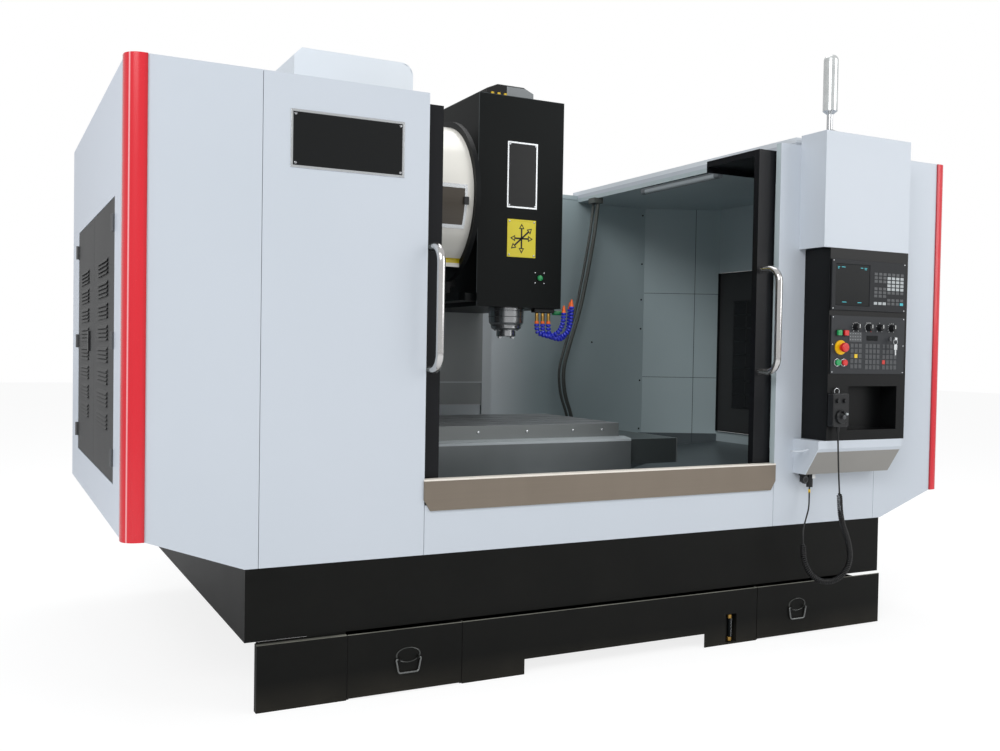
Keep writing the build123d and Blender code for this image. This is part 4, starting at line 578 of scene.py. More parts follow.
def round_edges(round_by, steps):
    """The active piece's edges are bevelled by millimetres, in edit mode."""
    bpy.ops.object.mode_set(mode="EDIT")
    bpy.ops.mesh.select_all(action="SELECT")
    bpy.ops.mesh.bevel(offset=round_by / 1000, segments=steps, affect="EDGES")
    bpy.ops.object.mode_set(mode="OBJECT")


def slab(name, low, high, material, body, slot, round_by=0.0, steps=2):
    """A block between two corners in millimetres, its edges rounded."""
    clear()
    a, b = spot(*low), spot(*high)
    bpy.ops.mesh.primitive_cube_add(size=1, location=(a + b) / 2, scale=b - a)
    bpy.ops.object.transform_apply(location=True, rotation=True, scale=True)
    if round_by:
        round_edges(round_by, steps)
    return settle(name, material, body, slot)


def turned(name, centre, radius, height, axis, material, body, slot, sides=32, round_by=0.0):
    """A short cylinder about an axis, its rims bevelled; centre in millimetres is its middle."""
    clear()
    turn = {"x": (0, math.pi / 2, 0), "y": (math.pi / 2, 0, 0), "z": (0, 0, 0)}[axis]
    bpy.ops.mesh.primitive_cylinder_add(vertices=sides, radius=radius / 1000, depth=height / 1000,
                                        location=spot(*centre), rotation=turn)
    if round_by:
        round_edges(round_by, 2)
    piece = settle(name, material, body, slot)
    bpy.ops.object.shade_smooth_by_angle(angle=math.radians(40))
    return piece


def copied(piece, name, shift):
    """A copy with its own mesh, moved by millimetres."""
    clear()
    twin = piece.copy()
    twin.data = piece.data.copy()
    bpy.context.collection.objects.link(twin)
    twin.name = name
    twin.data.name = name
    twin.data.transform(Matrix.Translation(Vector(shift) / 1000))
    return twin


def joined(pieces, name):
    """Several pieces made one; the first keeps its body."""
    clear()
    for piece in pieces:
        piece.select_set(True)
    bpy.context.view_layer.objects.active = pieces[0]
    bpy.ops.object.join()
    whole = bpy.context.object
    whole.name = name
    whole.data.name = name
    return whole


RIM_WIDTH = 6.6


def framed_plate(name, x0, x1, z0, z1, depth, field, rim, body, screw_inset):
    """A bare plate on a panel: a raised rim, a sunk field and a screw in each corner."""
    plate = slab(name, (x0, depth - 3, z0), (x1, depth, z1), rim, body, "black_plastic", 1.2)
    bpy.ops.object.mode_set(mode="EDIT")
    bpy.ops.mesh.select_all(action="DESELECT")
    bpy.context.tool_settings.mesh_select_mode = (False, False, True)
    shape = bmesh.from_edit_mesh(plate.data)
    front = min(shape.faces, key=lambda face: (face.normal.y, -face.calc_area()))
    front.select = True
    bmesh.update_edit_mesh(plate.data)
    bpy.ops.mesh.inset(thickness=0.0065, depth=0)
    bpy.ops.mesh.inset(thickness=0.0008, depth=-0.0012)
    bpy.ops.object.mode_set(mode="OBJECT")
    plate.data.materials.append(field)
    for face in plate.data.polygons:
        inside = spot(x0 + RIM_WIDTH, depth, z0 + RIM_WIDTH), spot(x1 - RIM_WIDTH, depth, z1 - RIM_WIDTH)
        if face.normal.y < -0.9 and inside[0].x < face.center.x < inside[1].x \
                and inside[0].z < face.center.z < inside[1].z:
            face.material_index = 1
    joined([turned(name + "_screw", (x, depth - 3.2, z), 4.5, 2.4, "y", chrome, body, "chrome_wire", 16, 0.8)
            for x in (x0 + screw_inset, x1 - screw_inset) for z in (z0 + screw_inset, z1 - screw_inset)],
           name + "_screws")


# Pendant cord
CORD = 0.007
ROUTE = [
    (1018, -172, 905), (1022, -175, 770), (1034, -174, 640), (1045, -173, 530), (1100, -166, 434),
    (1123, -162, 345), (1084, -158, 278), (1003, -152, 252), (925, -142, 278), (885, -126, 345),
    (895, -110, 425), (901, -100, 480), (936, -82, 528), (978, -55, 566), (991, -40, 618), (991, -40, 655),
]


def spline(name, points, thick=0.0, steps=12):
    """A smooth NURBS curve through the control points."""
    data = bpy.data.curves.new(name, "CURVE")
    data.dimensions = "3D"
    line = data.splines.new("NURBS")
    line.points.add(len(points) - 1)
    for knot, point in zip(line.points, points):
        knot.co = (*point, 1.0)
    line.order_u = 3
    line.use_endpoint_u = True
    data.resolution_u = steps
    data.bevel_depth = thick
    data.bevel_resolution = 3
    data.use_fill_caps = thick > 0
    piece = bpy.data.objects.new(name, data)
    bpy.context.collection.objects.link(piece)
    return piece


def follow(piece):
    """The points along a curve with no thickness, and how far along each lies."""
    bpy.context.view_layer.update()
    line = bpy.data.meshes.new_from_object(piece.evaluated_get(bpy.context.evaluated_depsgraph_get()))
    points = [vertex.co.copy() for vertex in line.vertices]
    bpy.data.meshes.remove(line)
    reach = [0.0]
    for before, after in zip(points, points[1:]):
        reach.append(reach[-1] + (after - before).length)
    return points, reach


def at_reach(points, reach, distance):
    """The point and direction at a distance along a line of points."""
    for i in range(1, len(points)):
        if reach[i] >= distance or i == len(points) - 1:
            run = reach[i] - reach[i - 1]
            share = min(1.0, max(0.0, (distance - reach[i - 1]) / run))
            return points[i - 1].lerp(points[i], share), (points[i] - points[i - 1]).normalized()


def curly_cord():
    """The pendant's cord: straight lead, curly middle, straight tail, as one spline."""
    guide = spline("cord_guide", [spot(*point) for point in ROUTE])
    points, reach = follow(guide)
    bpy.data.objects.remove(guide)

    def nearest(target):
        return min(range(len(points)), key=lambda i: (points[i] - spot(*target)).length)

    start, end = reach[nearest(ROUTE[2])], reach[nearest(ROUTE[10])]
    coil_radius, pitch, per_turn = 0.0095, 0.0087, 12
    turns = int((end - start) / pitch)
    track = []
    distance = 0.0
    while distance < start - 0.012:
        track.append(at_reach(points, reach, distance)[0])
        distance += 0.03
    side = Vector((1, 0, 0))
    for step in range(turns * per_turn + 1):
        share = step / (turns * per_turn)
        place, heading = at_reach(points, reach, start + (end - start) * share)
        side = (side - heading * side.dot(heading)).normalized()
        across = heading.cross(side)
        angle = 2 * math.pi * step / per_turn
        grow = min(1.0, step / (per_turn * 1.5), (turns * per_turn - step) / (per_turn * 1.5))
        track.append(place + (side * math.cos(angle) + across * math.sin(angle)) * coil_radius * grow)
    distance = end + 0.012
    while distance < reach[-1]:
        track.append(at_reach(points, reach, distance)[0])
        distance += 0.03
    track.append(points[-1])
    length = sum((after - before).length for before, after in zip(track, track[1:]))
    cord = spline("pendant_cord_curly", track, CORD / 2, 3)
    cord.data.bevel_resolution = 2
    cord.data.materials.append(rubber)
    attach(cord, "machine")
    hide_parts("pendant_cord", "cord_coil")
    tuple(spot(*ROUTE[0]))


curly_cord()

# Plates and small fittings
plate_black = coat("plate_black", shade(13, 15, 16), 0.3, 0.0, 500.0, 0.03, 0.05, sheen_level=0.25).material
plate_silver = coat("plate_silver", shade(196, 199, 201), 0.25, 0.85, 500.0, 0.03, 0.05).material
plate_yellow = coat("plate_yellow", shade(222, 206, 36), 0.35, 0.0, 500.0, 0.04, 0.04).material
framed_plate("front_plate", -1329, -919, 1836, 2032, 0, plate_black, plate_silver, "machine", 16.0)
framed_plate("head_plate", -76, 84, 1896, 2204, HEAD_FRONT, plate_black, plate_silver, "head", 13.0)
framed_plate("arrow_plate", -71, 80, 1668, 1844, HEAD_FRONT, plate_yellow, plate_yellow, "head", 10.0)


def arrows(centre_x, centre_z, depth):
    """Axis arrows on the yellow plate: crossed double arrows and a slanted one, heads in outline."""
    parts = []
    for turn, reach in ((0, 62), (90, 52), (48, 66)):
        angle = math.radians(turn)
        way = Vector((math.sin(angle), 0, math.cos(angle)))
        flat_bar(spot(centre_x, depth - 2.2, centre_z), angle, (0.0078, 0.0008, 2 * (reach - 14) / 1000))
        parts.append(settle("arrow_shaft", plate_black, "head", "black_plastic"))
        for end in (-1, 1):
            for size, skin, lift in ((17.0, plate_black, 2.3), (8.0, plate_yellow, 2.7)):
                clear()
                tip = spot(centre_x, depth - lift, centre_z) + way * end * (reach - 9) / 1000
                bpy.ops.mesh.primitive_cylinder_add(vertices=3, radius=size / 1000, depth=0.0008,
                                                    location=tip)
                bpy.ops.object.transform_apply(location=False, rotation=True, scale=True)
                spin = math.pi if end < 0 else 0.0
                bpy.context.object.rotation_euler = (math.pi / 2, angle + spin, 0)
                parts.append(settle("arrow_head", skin, "head", "black_plastic"))
    joined(parts, "axis_arrows")


arrows(4.5, 1756, HEAD_FRONT)

# Console
key_dark = coat("key_charcoal", shade(66, 69, 72), 0.4, 0.0, 900.0, 0.05, 0.05).material
key_pale = coat("key_pale", shade(172, 178, 180), 0.4, 0.0, 900.0, 0.05, 0.03).material
key_yellow = coat("key_yellow", shade(226, 190, 30), 0.4, 0.0, 900.0, 0.05, 0.03).material
key_red = coat("key_red", shade(196, 48, 40), 0.4, 0.0, 900.0, 0.05, 0.03).material
key_cyan = coat("key_cyan", shade(60, 178, 190), 0.4, 0.0, 900.0, 0.05, 0.03).material
ink_white = coat("ink_white", shade(206, 208, 208), 0.5, 0.0, 900.0, 0.03, 0.03).material
screen_glass = coat("screen_glass", shade(6, 10, 12), 0.25, 0.0, 300.0, 0.01, 0.1, sheen_level=0.12).material
KEY_SHARE = 0.74


def key_field(name, columns, rows, x0, x1, z0, z1, depth, colours):
    """A field of low membrane keys: one key modelled, then copied; colours maps (column, row) to a finish."""
    pitch_x, pitch_z = (x1 - x0) / columns, (z1 - z0) / rows
    wide, tall = pitch_x * KEY_SHARE / 2, pitch_z * KEY_SHARE / 2
    first = slab(name + "_key", (-wide, depth - 1.6, -tall), (wide, depth, tall), key_dark, "machine",
                 "black_plastic", 0.7, 2)
    groups = {}
    for column in range(columns):
        for row in range(rows):
            skin = colours(column, row)
            if skin is None:
                continue
            shift = (x0 + (column + 0.5) * pitch_x, 0, z1 - (row + 0.5) * pitch_z)
            key = copied(first, name + "_key", shift)
            key.data.materials[0] = skin
            groups.setdefault(skin.name, []).append(key)
    bpy.data.objects.remove(first)
    for tint, keys in groups.items():
        joined(keys, name + "_" + tint)


def screen_keys(column, row):
    if column < 3:
        return None if row in (3, 7) else (key_dark if row < 7 else key_pale)
    if 1 <= row <= 4:
        return key_pale
    if (column, row) == (6, 8):
        return key_cyan
    return key_dark if row != 6 else None


# The fronts of the key panel and the screen unit, and where the four knobs stand
PANEL = -156
UNIT = -158
KNOB_Z = 1357
KNOBS = {"mode_knob": 1124, "feed_knob": 1200, "rapid_knob": 1266, "spindle_knob": 1339}
key_field("screen_unit", 7, 9, 1222, 1408, 1456, 1600, UNIT, screen_keys)
key_field("jog_keys", 3, 5, 1092, 1164, 1176, 1288, PANEL,
          lambda column, row: key_yellow if (column, row) == (1, 2) else key_dark)
key_field("mode_keys", 4, 5, 1180, 1272, 1172, 1288, PANEL, lambda column, row: key_dark)
key_field("spindle_keys", 4, 5, 1284, 1376, 1172, 1288, PANEL,
          lambda column, row: key_red if (column, row) == (0, 3) else key_dark)
slab("screen_pane", (1000.5, UNIT + 2.5, 1449.5), (1199.5, UNIT + 4, 1626.5), screen_glass, "machine",
     "black_plastic", 0.6)
slab("led_window", (1085, PANEL - 1.5, 1294), (1160, PANEL, 1336), key_dark, "machine", "black_plastic", 0.6)
slab("count_window", (1190, PANEL - 1.5, 1300), (1256, PANEL, 1322), screen_glass, "machine",
     "black_plastic", 0.6)


def screen_marks():
    """Short bright bars at the screen's corners and small lamps on the panel."""
    marks = ((1012, 1612, 12), (1034, 1612, 22), (1146, 1612, 14), (1168, 1612, 16), (1040, 1462, 26),
             (1132, 1462, 22), (1012, 1606, 8), (1170, 1606, 12))
    joined([slab("screen_bar", (x, UNIT + 2.2, z), (x + wide, UNIT + 2.6, z + 3.2), key_cyan, "machine",
                 "black_plastic", 0.3, 1) for x, z, wide in marks], "screen_bars")
    joined([turned("led", (1093 + column * 14.5, PANEL - 1.6, 1329 - row * 13), 1.8, 1.4, "y", key_pale,
                   "machine", "black_plastic", 10, 0.4)
            for column in range(5) for row in range(3)], "led_dots")


screen_marks()


def dial(x, count, red):
    """Tick marks round a knob, longer at each third."""
    inner, end = 18.5, 140
    ticks = []
    for step in range(count):
        angle = math.radians(2 * end * step / (count - 1) - end)
        reach = 6.0 if step % 3 == 0 else 4.0
        middle = inner + reach / 2
        place = spot(x + math.sin(angle) * middle, PANEL - 0.8, KNOB_Z + math.cos(angle) * middle)
        flat_bar(place, angle, (0.0017, 0.0010, reach / 1000))
        ticks.append(settle("tick", key_red if step in red else ink_white, "machine", "black_plastic"))
    joined(ticks, "dial_ticks")


for knob, count, red in (("mode_knob", 10, ()), ("feed_knob", 16, (14, 15)), ("rapid_knob", 5, ()),
                         ("spindle_knob", 11, ())):
    dial(KNOBS[knob], count, red)


def knob_caps():
    """A pale pointer line on each knob and a ribbed skirt round it."""
    rib_count, rib_circle = 16, 14.6
    for name, x in KNOBS.items():
        slab(name + "_pointer", (x - 2, PANEL - 24.8, KNOB_Z - 3), (x + 2, PANEL - 24.1, KNOB_Z + 13),
             ink_white, name, "black_plastic", 0.2, 1)
        ribs = []
        for step in range(rib_count):
            angle = 2 * math.pi * step / rib_count
            place = (x + math.cos(angle) * rib_circle, PANEL - 6, KNOB_Z + math.sin(angle) * rib_circle)
            ribs.append(turned(name + "_rib", place, 1.3, 9, "y", plastic, name, "black_plastic", 8, 0.3))
        joined(ribs, name + "_ribs")


knob_caps()


def button_rings():
    """Round and square bezels at the buttons."""
    rings = []
    for x in (1018, 1056):
        thin_ring((x, PANEL - 1.2, 1203), 15.5, 1.8, 32)
        rings.append(settle("bezel", plate_silver, "machine", "black_plastic"))
    joined(rings, "round_bezels")
    frames = []
    away, thin, long, z = 12.6, 1.2, 13.2, 1331
    for x in (1022, 1061):
        for dx, dz, wide, tall in ((-away, 0, thin, long), (away, 0, thin, long), (0, away, long, thin),
                                   (0, -away, long, thin)):
            low = (x + dx - wide, PANEL - 3, z + dz - tall)
            high = (x + dx + wide, PANEL, z + dz + tall)
            frames.append(slab("frame_bar", low, high, plastic, "machine", "black_plastic", 0.5, 1))
    joined(frames, "square_bezels")


button_rings()


def screw_row(name, places, axis, radius, material, body, slot_name):
    """Screw heads at several places, each a low bevelled button."""
    first = turned(name + "_first", places[0], radius, radius * 0.7, axis, material, body, slot_name, 12,
                   radius * 0.2)
    heads = [copied(first, name + "_head", [b - a for a, b in zip(places[0], place)])
             for place in places[1:]]
    joined([first] + heads, name)


screw_row("console_screws", [(x, PANEL - 0.6, z) for x in (990, 1414) for z in (1162, 1280, 1398)],
          "y", 2.8, plate_silver, "machine", "black_plastic")
screw_row("unit_screws", [(x, UNIT - 0.6, z) for x in (985, 1410) for z in (1435, 1639)],
          "y", 2.8, plate_silver, "machine", "black_plastic")
screw_row("head_button_screws", [(x, HEAD_FRONT - 1.1, z) for x in (82, 130) for z in (1552, 1600)],
          "y", 3.6, plate_silver, "head", "head_black")
turned("head_button", (106, HEAD_FRONT - 4.5, 1576), 13, 12, "y", green_cap, "head", "green_cap", 32, 1.5)


def cable_hook():
    """A white bent wire hook on the shelf's left side."""
    wire = spline("cable_hook", [spot(*p) for p in (
        (929, -60, 812), (900, -62, 814), (868, -66, 818), (846, -74, 820), (846, -92, 820), (866, -100, 820),
        (896, -104, 822), (912, -108, 828))], 0.0042, 8)
    wire.data.materials.append(dress["console_housing"])
    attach(wire, "machine")


cable_hook()


def key_and_ring():
    """The key's bow, a split ring and a spare key hanging from it."""
    skin = plate_silver, "key_switch", "key_metal"
    parts = [slab("key_bow", (1327, -190, 1304), (1341, -180.3, 1316), *skin, 1.5)]
    thin_ring((1334, -186, 1297), 12, 1.4, 28)
    parts.append(settle("key_ring", *skin))
    parts.append(slab("spare_bow", (1325, -187.2, 1262), (1345, -184.8, 1285), *skin, 1.0))
    parts.append(slab("spare_blade", (1331, -187.0, 1238), (1339, -185.0, 1264), *skin, 0.8))
    joined(parts, "key_bunch")


key_and_ring()


def pendant_details():
    """Scale marks, hub and grip of the pendant's wheel, and its hanging ring."""
    x, z, face = 1018, 972, -173.3
    tick_count, tick_circle = 20, 34
    ticks = []
    for step in range(tick_count):
        angle = 2 * math.pi * step / tick_count
        place = spot(x + math.sin(angle) * tick_circle, face - 3.6, z + math.cos(angle) * tick_circle)
        flat_bar(place, angle, (0.0014, 0.001, 0.005))
        ticks.append(settle("wheel_tick", ink_white, "machine", "black_plastic"))
    joined(ticks, "wheel_scale")
    turned("wheel_hub", (x, -208.0, z), 9, 2.4, "y", key_dark, "pendant_wheel", "black_plastic", 24, 0.8)
    turned("wheel_grip", (x + 17, -204.4, z + 12), 5.5, 9.6, "y", key_pale, "pendant_wheel",
           "black_plastic", 20, 1.5)
    thin_ring((x, -160, 1078), 14, 2.2, 24)
    settle("pendant_strap", plate_silver, "machine", "chrome_wire")


pendant_details()


def plug_details():
    """A round plug with a bright ring beside the cord's own, a white tag and a coloured sleeve."""
    plug_x, plug_z = 951, 690
    turned("round_plug", (plug_x, -50, plug_z), 18, 16, "y", rubber, "machine", "black_rubber", 28, 3)
    thin_ring((plug_x, -58, plug_z), 12.5, 1.8, 32)
    settle("plug_ring", key_dark, "machine", "black_rubber")
    slab("plug_tag", (986, -62, 694), (1004, -60, 716), ink_white, "machine", "black_rubber", 0.6)
    turned("cord_sleeve", (991, -40, 636), 4.8, 17, "z", key_yellow, "machine", "black_rubber", 20, 0.8)


plug_details()

# Head and coolant
orange = coat("nozzle_orange", shade(255, 112, 36), 0.35, 0.0, 700.0, 0.04, 0.05, 0.2).material
blue = coat("hose_blue", shade(34, 48, 196), 0.3, 0.0, 700.0, 0.04, 0.06, 0.3).material
brass = coat("brass", shade(176, 140, 72), 0.3, 0.85, 500.0, 0.05, 0.06).material


def ball_hoses():
    """Jointed coolant hoses: brass spigots, orange collars, a chain of blue ball pieces and a nozzle."""
    block = slab("coolant_block", (97, 862, 1414), (207, 898, 1434), plastic, "head", "hose_mix", 3)
    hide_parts("coolant_hoses")
    turned("coolant_elbow", (236, 880, 1416), 11, 58, "x", green_cap, "head", "hose_mix", 12, 1.5)
    beads, collars, tips, spigots = [], [], [], []
    bead = turned("bead", (0, 0, 0), 12.2, 13.5, "z", blue, "head", "hose_mix", 16, 0)
    clear()
    bpy.context.view_layer.objects.active = bead
    bead.select_set(True)
    round_edges(5.2, 3)
    bead.data.transform(Matrix.Translation(-spot(0, 0, 0)))
    first_x, pitch, block_depth, ball_pitch = 120, 32, 880, 0.0158
    for hose in range(3):
        x = first_x + pitch * hose
        spigots.append(turned("spigot", (x, block_depth, 1394), 9, 42, "z", brass, "head", "hose_mix", 6, 1))
        collars.append(turned("collar", (x, block_depth, 1368), 10.5, 13, "z", orange, "head",
                              "hose_mix", 20, 2))
        low = 1310 - 7 * hose
        end, top, depth = ((256, 1420, 858), (304, 1452, 866), (306, 1440, 884))[hose]
        middle = (x + end) / 2
        line = spline("hose_line", [spot(*p) for p in (
            (x, block_depth, 1362), (x, block_depth - 1, low + 12), (x + 22, 874, low),
            (middle, 870, low - 8), (end - 26, depth, low + 10), (end - 4, depth, low + 52),
            (end, depth, top - 16), (end, depth, top))])
        points, reach = follow(line)
        bpy.data.objects.remove(line)
        count = int(reach[-1] / ball_pitch)
        for step in range(count):
            place, heading = at_reach(points, reach, reach[-1] * (step + 0.5) / count)
            twin = copied(bead, "bead", (0, 0, 0))
            turn = heading.to_track_quat("Z", "Y").to_matrix().to_4x4()
            twin.data.transform(Matrix.Translation(place) @ turn)
            beads.append(twin)
        clear()
        bpy.ops.mesh.primitive_cone_add(vertices=20, radius1=0.0108, radius2=0.0042, depth=0.034,
                                        location=spot(end, depth, top + 14))
        tips.append(settle("nozzle", orange, "head", "hose_mix"))
    bpy.data.objects.remove(bead)
    joined(spigots, "hose_spigots")
    joined(collars, "hose_collars")
    joined(tips, "hose_nozzles")
    joined(beads, "hose_balls")
    bpy.ops.object.shade_smooth_by_angle(angle=math.radians(50))


ball_hoses()


def fan_details():
    """A black louvred side on the fan cowl with yellow cable ends beside it."""
    joined([slab("fan_slot", (-126.5, start, 2424), (-124.2, start + 45, 2458), plastic, "head", "fan_grey",
                 0.6, 1) for start in (985, 1047, 1109, 1171)], "fan_slots")
    joined([turned("cable_end", (x, 952, 2432), 8, 40, "z", key_yellow, "head", "fan_grey", 16, 2.5)
            for x in (-100, -66, -32)], "yellow_cable_ends")


fan_details()


def spindle_details():
    """Bright rings and bolts on the spindle's sleeve flange."""
    rings = []
    for z, radius in ((1348, 73.0), (1392, 84.2), (1422, 85.4)):
        thin_ring((0, SPINDLE_DEPTH, z), radius, 1.6, 56, 0)
        rings.append(settle("ring", steel, "head", "polished_steel"))
    joined(rings, "sleeve_rings")
    bolt_count, bolt_circle = 8, 53
    bolts = []
    for step in range(bolt_count):
        angle = math.radians((step + 0.5) * 360 / bolt_count)
        place = (math.cos(angle) * bolt_circle, SPINDLE_DEPTH + math.sin(angle) * bolt_circle, 1327.5)
        bolts.append(turned("bolt", place, 4.2, 5, "z", steel, "head", "polished_steel", 6, 0.6))
    joined(bolts, "sleeve_bolts")


spindle_details()

# Magazine
smoke = coat("window_smoke", shade(78, 72, 64), 0.2, 0.0, 300.0, 0.02, 0.3, sheen_level=0.3).material


def magazine_window():
    """A smoked pane in a light frame bent over the drum's rim, with a latch."""
    radius, inner, proud, arc_steps = 0.3445, 0.3395, 0.0012, 10
    axle = spot(0, SPINDLE_DEPTH, DRUM_Z)
    for name, x0, x1, low, high, material, lift in (
            ("window_pane", -758, -383, -24.2, 4.2, smoke, 0.0),
            ("window_frame_low", -764, -377, -26.0, -23.2, plate_silver, proud),
            ("window_frame_high", -764, -377, 3.2, 6.0, plate_silver, proud),
            ("window_frame_left", -764, -752, -26.0, 6.0, plate_silver, proud),
            ("window_frame_right", -389, -377, -26.0, 6.0, plate_silver, proud)):
        start = math.radians(low)
        outer = radius + lift
        clear()
        bpy.ops.mesh.primitive_plane_add(size=1)
        strip = bpy.context.object
        bpy.ops.object.mode_set(mode="EDIT")
        shape = bmesh.from_edit_mesh(strip.data)
        for vertex, place in zip(shape.verts, ((x0, inner), (x1, inner), (x0, outer), (x1, outer))):
            x, reach = place
            vertex.co = axle + Vector((x / 1000, -reach * math.cos(start), reach * math.sin(start)))
        bmesh.update_edit_mesh(strip.data)
        bpy.ops.mesh.select_all(action="SELECT")
        bpy.ops.mesh.spin(steps=arc_steps, angle=math.radians(high - low), center=axle, axis=(1, 0, 0))
        bpy.ops.mesh.select_all(action="SELECT")
        bpy.ops.mesh.normals_make_consistent(inside=False)
        bpy.ops.object.mode_set(mode="OBJECT")
        settle(name, material, "machine", "magazine_white")
    slab("window_latch", (-396, 614, 1858), (-372, 622, 1892), plastic, "machine", "magazine_black", 2)


magazine_window()

# Side doors, tank and drawers
filter_grey = coat("filter_grey", shade(40, 42, 44), 0.7, 0.0, 300.0, 0.3, 0.2, sheen_level=DULL).material


def filter_panel(name, side, start, body):
    """A dust filter clipped behind the louvres: a dark mat in a frame with cross bars."""
    low, high, bar = 905, 1555, 10
    near, far = start - 8, start + 341
    x0, x1 = sorted((side * 1841.5, side * 1844.5))
    slab(name, (x0, near, low), (x1, far, high), filter_grey, body, "dark_grey_sheet", 1.0, 1)
    bar_x0, bar_x1 = min(x0, x0 - side * 2), max(x1, x1 - side * 2)
    ends = [((near + column * 113, low), (near + column * 113 + bar, high)) for column in range(4)]
    ends += [((near, low + row * 80), (far, low + row * 80 + bar)) for row in range(9)]
    joined([slab(name + "_bar", (bar_x0, *first), (bar_x1, *last), plastic, body, "dark_grey_sheet", 0.8, 1)
            for first, last in ends], name + "_frame")


for side, side_name in ((-1, "left"), (1, "right")):
    for leaf, start in (("front", 484), ("rear", 1165)):
        body = "side_door_" + side_name + "_" + leaf
        filter_panel("filter_" + side_name + "_" + leaf, side, start, body)


drain_grey = coat("drain_grey", shade(46, 50, 52), 0.5, 0.1, 400.0, 0.08, 0.1, sheen_level=0.2).material
dish_grey = coat("dish_grey", shade(66, 68, 66), 0.25, 0.5, 500.0, 0.05, 0.1, sheen_level=0.4).material
# Dark pieces standing in for shade: a lip over the gap above the left skirt and strips behind the skirt
# joints.
slab("skirt_lip", (-1427, 3, 228), (-1112, 6, 237.2), black, "machine", "black_sheet", 0.6)
joined([slab("seam_back", (x - 8, -9.6, 1), (x + 8, -8, 229), rubber, "machine", "black_sheet", 0.4, 1)
        for x in (-1111, -669, 733)], "seam_backs")
joined([slab("rear_skirt", (x0, REAR_WALL + 3.2, z0), (x1, REAR_WALL + 5.6, z1), drain_grey, "machine",
             "guard_sheet", 0.8, 1)
        for x0, x1, z0, z1 in ((-1424, -616, 497, 654), (616, 1424, 497, 654), (-640, -330, 640, 762),
                               (330, 640, 640, 762))], "rear_skirts")
slab("drain_sheet", (-1455, 12, 494), (1455, 1930, 497), drain_grey, "machine", "guard_sheet", 0.8, 1)


def drawer_dish(name, x, body):
    """The pressed rim over a drawer's wire pull."""
    thin_ring((x, -13.4, 134), 36, 2.8, 40)
    bpy.ops.transform.resize(value=(1.25, 1.0, 0.72))
    settle(name, dish_grey, body, "black_sheet")


drawer_dish("dish_left", -882, "chip_drawer_left")
drawer_dish("dish_right", 960, "chip_drawer_right")


def level_gauge():
    """A sight glass between brass ends, with its scale, in the tank front's slot."""
    gauge_x = 593
    turned("gauge_glass", (gauge_x, 0, 68), 7, 84, "z", screen_glass, "machine", "glass_pane", 20, 1.5)
    ends = [turned("gauge_end", (gauge_x, 0, z), 11, 16, "z", brass, "machine", "hose_mix", 6, 1.5)
            for z in (20, 116)]
    ends.append(slab("gauge_scale", (603, 6, 22), (612, 8, 114), plate_silver, "machine", "hose_mix", 0.6, 1))
    joined(ends, "gauge_ends")


level_gauge()

# Work area
screw_row("apron_screws", [(x, 615.5, 870) for x in (-860, -600, -311, -68, 172, 330)],
          "y", 6.5, plate_silver, "table", "table_steel")
for side, side_name in ((-1, "left"), (1, "right")):
    places = [(side * 1405, REAR_WALL - 1.6, z) for z in (760, 1060, 1380, 1560, 1780, 2080)]
    places.append((side * 1050, REAR_WALL - 1.6, 1290))
    screw_row("wall_screws_" + side_name, places, "y", 5.5, magazine_black, "machine", "guard_sheet")


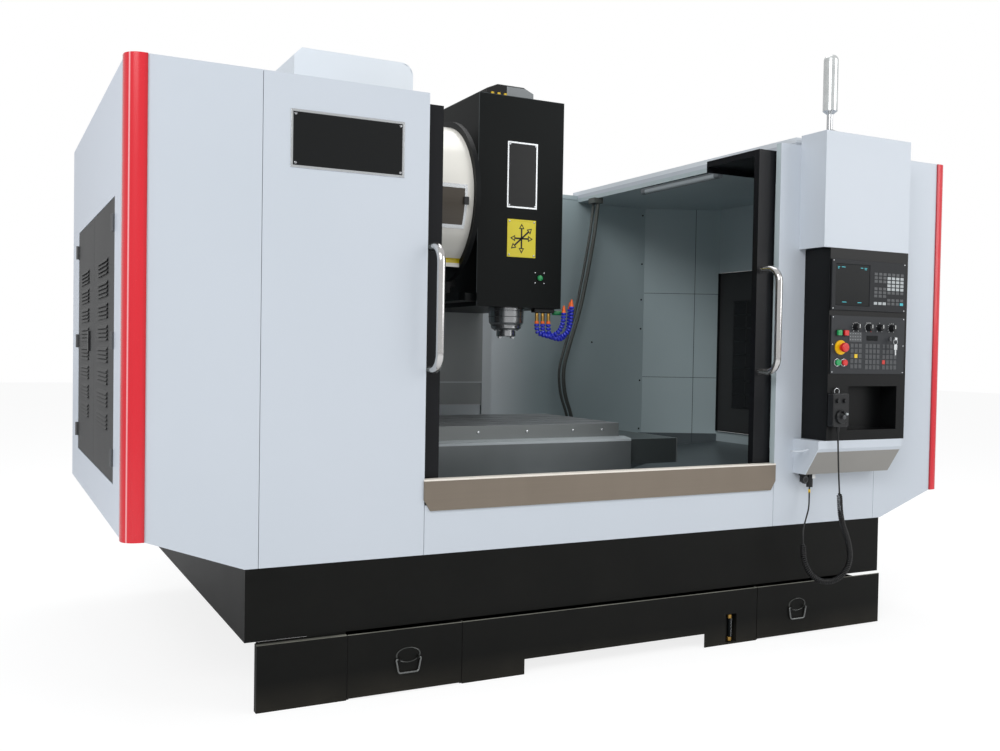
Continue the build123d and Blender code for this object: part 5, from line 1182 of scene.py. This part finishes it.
# Floor, light and camera
def stage_and_light():
    """A plain pale floor that stays white to the camera, soft lamps and the camera."""
    clear()
    bpy.ops.mesh.primitive_plane_add(size=60, location=(0, 0, 0))
    floor = bpy.context.object
    floor.name = "studio_floor"
    pale = Finish("floor_pale")
    cloud = pale.noise(0.6, 2.0)
    pale.put(Base_Color=pale.mix(cloud, shade(242, 243, 244), shade(246, 247, 248)), Roughness=0.8)
    seen = pale.node("ShaderNodeLightPath", None, None, "Is Camera Ray")
    glow_share, glow_strength = 0.72, 1.14
    glow = pale.node("ShaderNodeEmission", None, {"Color": (1, 1, 1, 1), "Strength": glow_strength})
    own = Wire(pale, pale.shader.outputs[0])
    lit = pale.node("ShaderNodeMixShader", None, {0: seen * glow_share, 1: own, 2: glow})
    pale.tree.links.new(lit.socket, pale.tree.nodes["Material Output"].inputs["Surface"])
    floor.data.materials.append(pale.material)
    world = bpy.data.worlds.new("studio")
    bpy.context.scene.world = world
    world.use_nodes = True
    tree = world.node_tree
    path = tree.nodes.new("ShaderNodeLightPath")
    level = None
    for ray, share in (("Is Camera Ray", 0.5), ("Is Transmission Ray", 0.5), ("Is Glossy Ray", 0.2)):
        step = tree.nodes.new("ShaderNodeMath")
        step.operation = "MULTIPLY_ADD"
        step.inputs[1].default_value = share
        step.inputs[2].default_value = 0.5
        tree.links.new(path.outputs[ray], step.inputs[0])
        if level:
            tree.links.new(level.outputs[0], step.inputs[2])
        level = step
    sky = tree.nodes["Background"]
    sky.inputs["Color"].default_value = (1, 1, 1, 1)
    tree.links.new(level.outputs[0], sky.inputs["Strength"])
    for name, place, aim, size, power in (
            ("key_lamp", (-5.5, -6.5, 6.0), (0, -0.5, 1.2), 4.0, 350),
            ("fill_lamp", (5.0, -6.0, 3.5), (0.5, 0, 1.2), 4.0, 130),
            ("top_lamp", (0.5, 1.0, 7.0), (0, 0, 1.0), 5.0, 175)):
        light = bpy.data.lights.new(name, "AREA")
        light.size = size
        light.energy = power
        lamp = bpy.data.objects.new(name, light)
        bpy.context.collection.objects.link(lamp)
        lamp.location = place
        lamp.rotation_euler = (Vector(aim) - Vector(place)).to_track_quat("-Z", "Y").to_euler()
    grazing = bpy.data.lights.new("column_light", "SPOT")
    grazing.energy = 90
    grazing.spot_size = math.radians(34)
    grazing.spot_blend = 1.0
    grazing.shadow_soft_size = 0.25
    lamp = bpy.data.objects.new("column_light", grazing)
    bpy.context.collection.objects.link(lamp)
    lamp.location = spot(480, 1480, 3600)
    lamp.rotation_euler = (spot(440, 1862, 1250) - lamp.location).to_track_quat("-Z", "Y").to_euler()
    lens = bpy.data.cameras.new("camera")
    lens.sensor_width = 36
    lens.lens = 36.77
    lens.clip_end = 100
    camera = bpy.data.objects.new("camera", lens)
    bpy.context.collection.objects.link(camera)
    yaw, pitch, roll = (math.radians(angle) for angle in (27.146, -1.404, 0.953))
    forward = Vector((math.sin(yaw) * math.cos(pitch), math.cos(yaw) * math.cos(pitch), math.sin(pitch)))
    level_right = Vector((math.cos(yaw), -math.sin(yaw), 0))
    level_up = level_right.cross(forward)
    right = level_right * math.cos(roll) + level_up * math.sin(roll)
    up = level_up * math.cos(roll) - level_right * math.sin(roll)
    turn = Matrix((right, up, -forward)).transposed().to_4x4()
    camera.matrix_world = Matrix.Translation(spot(-2264.8, -3395.6, 1230.6)) @ turn
    bpy.context.scene.camera = camera
    bpy.context.scene.view_settings.view_transform = "Standard"


stage_and_light()
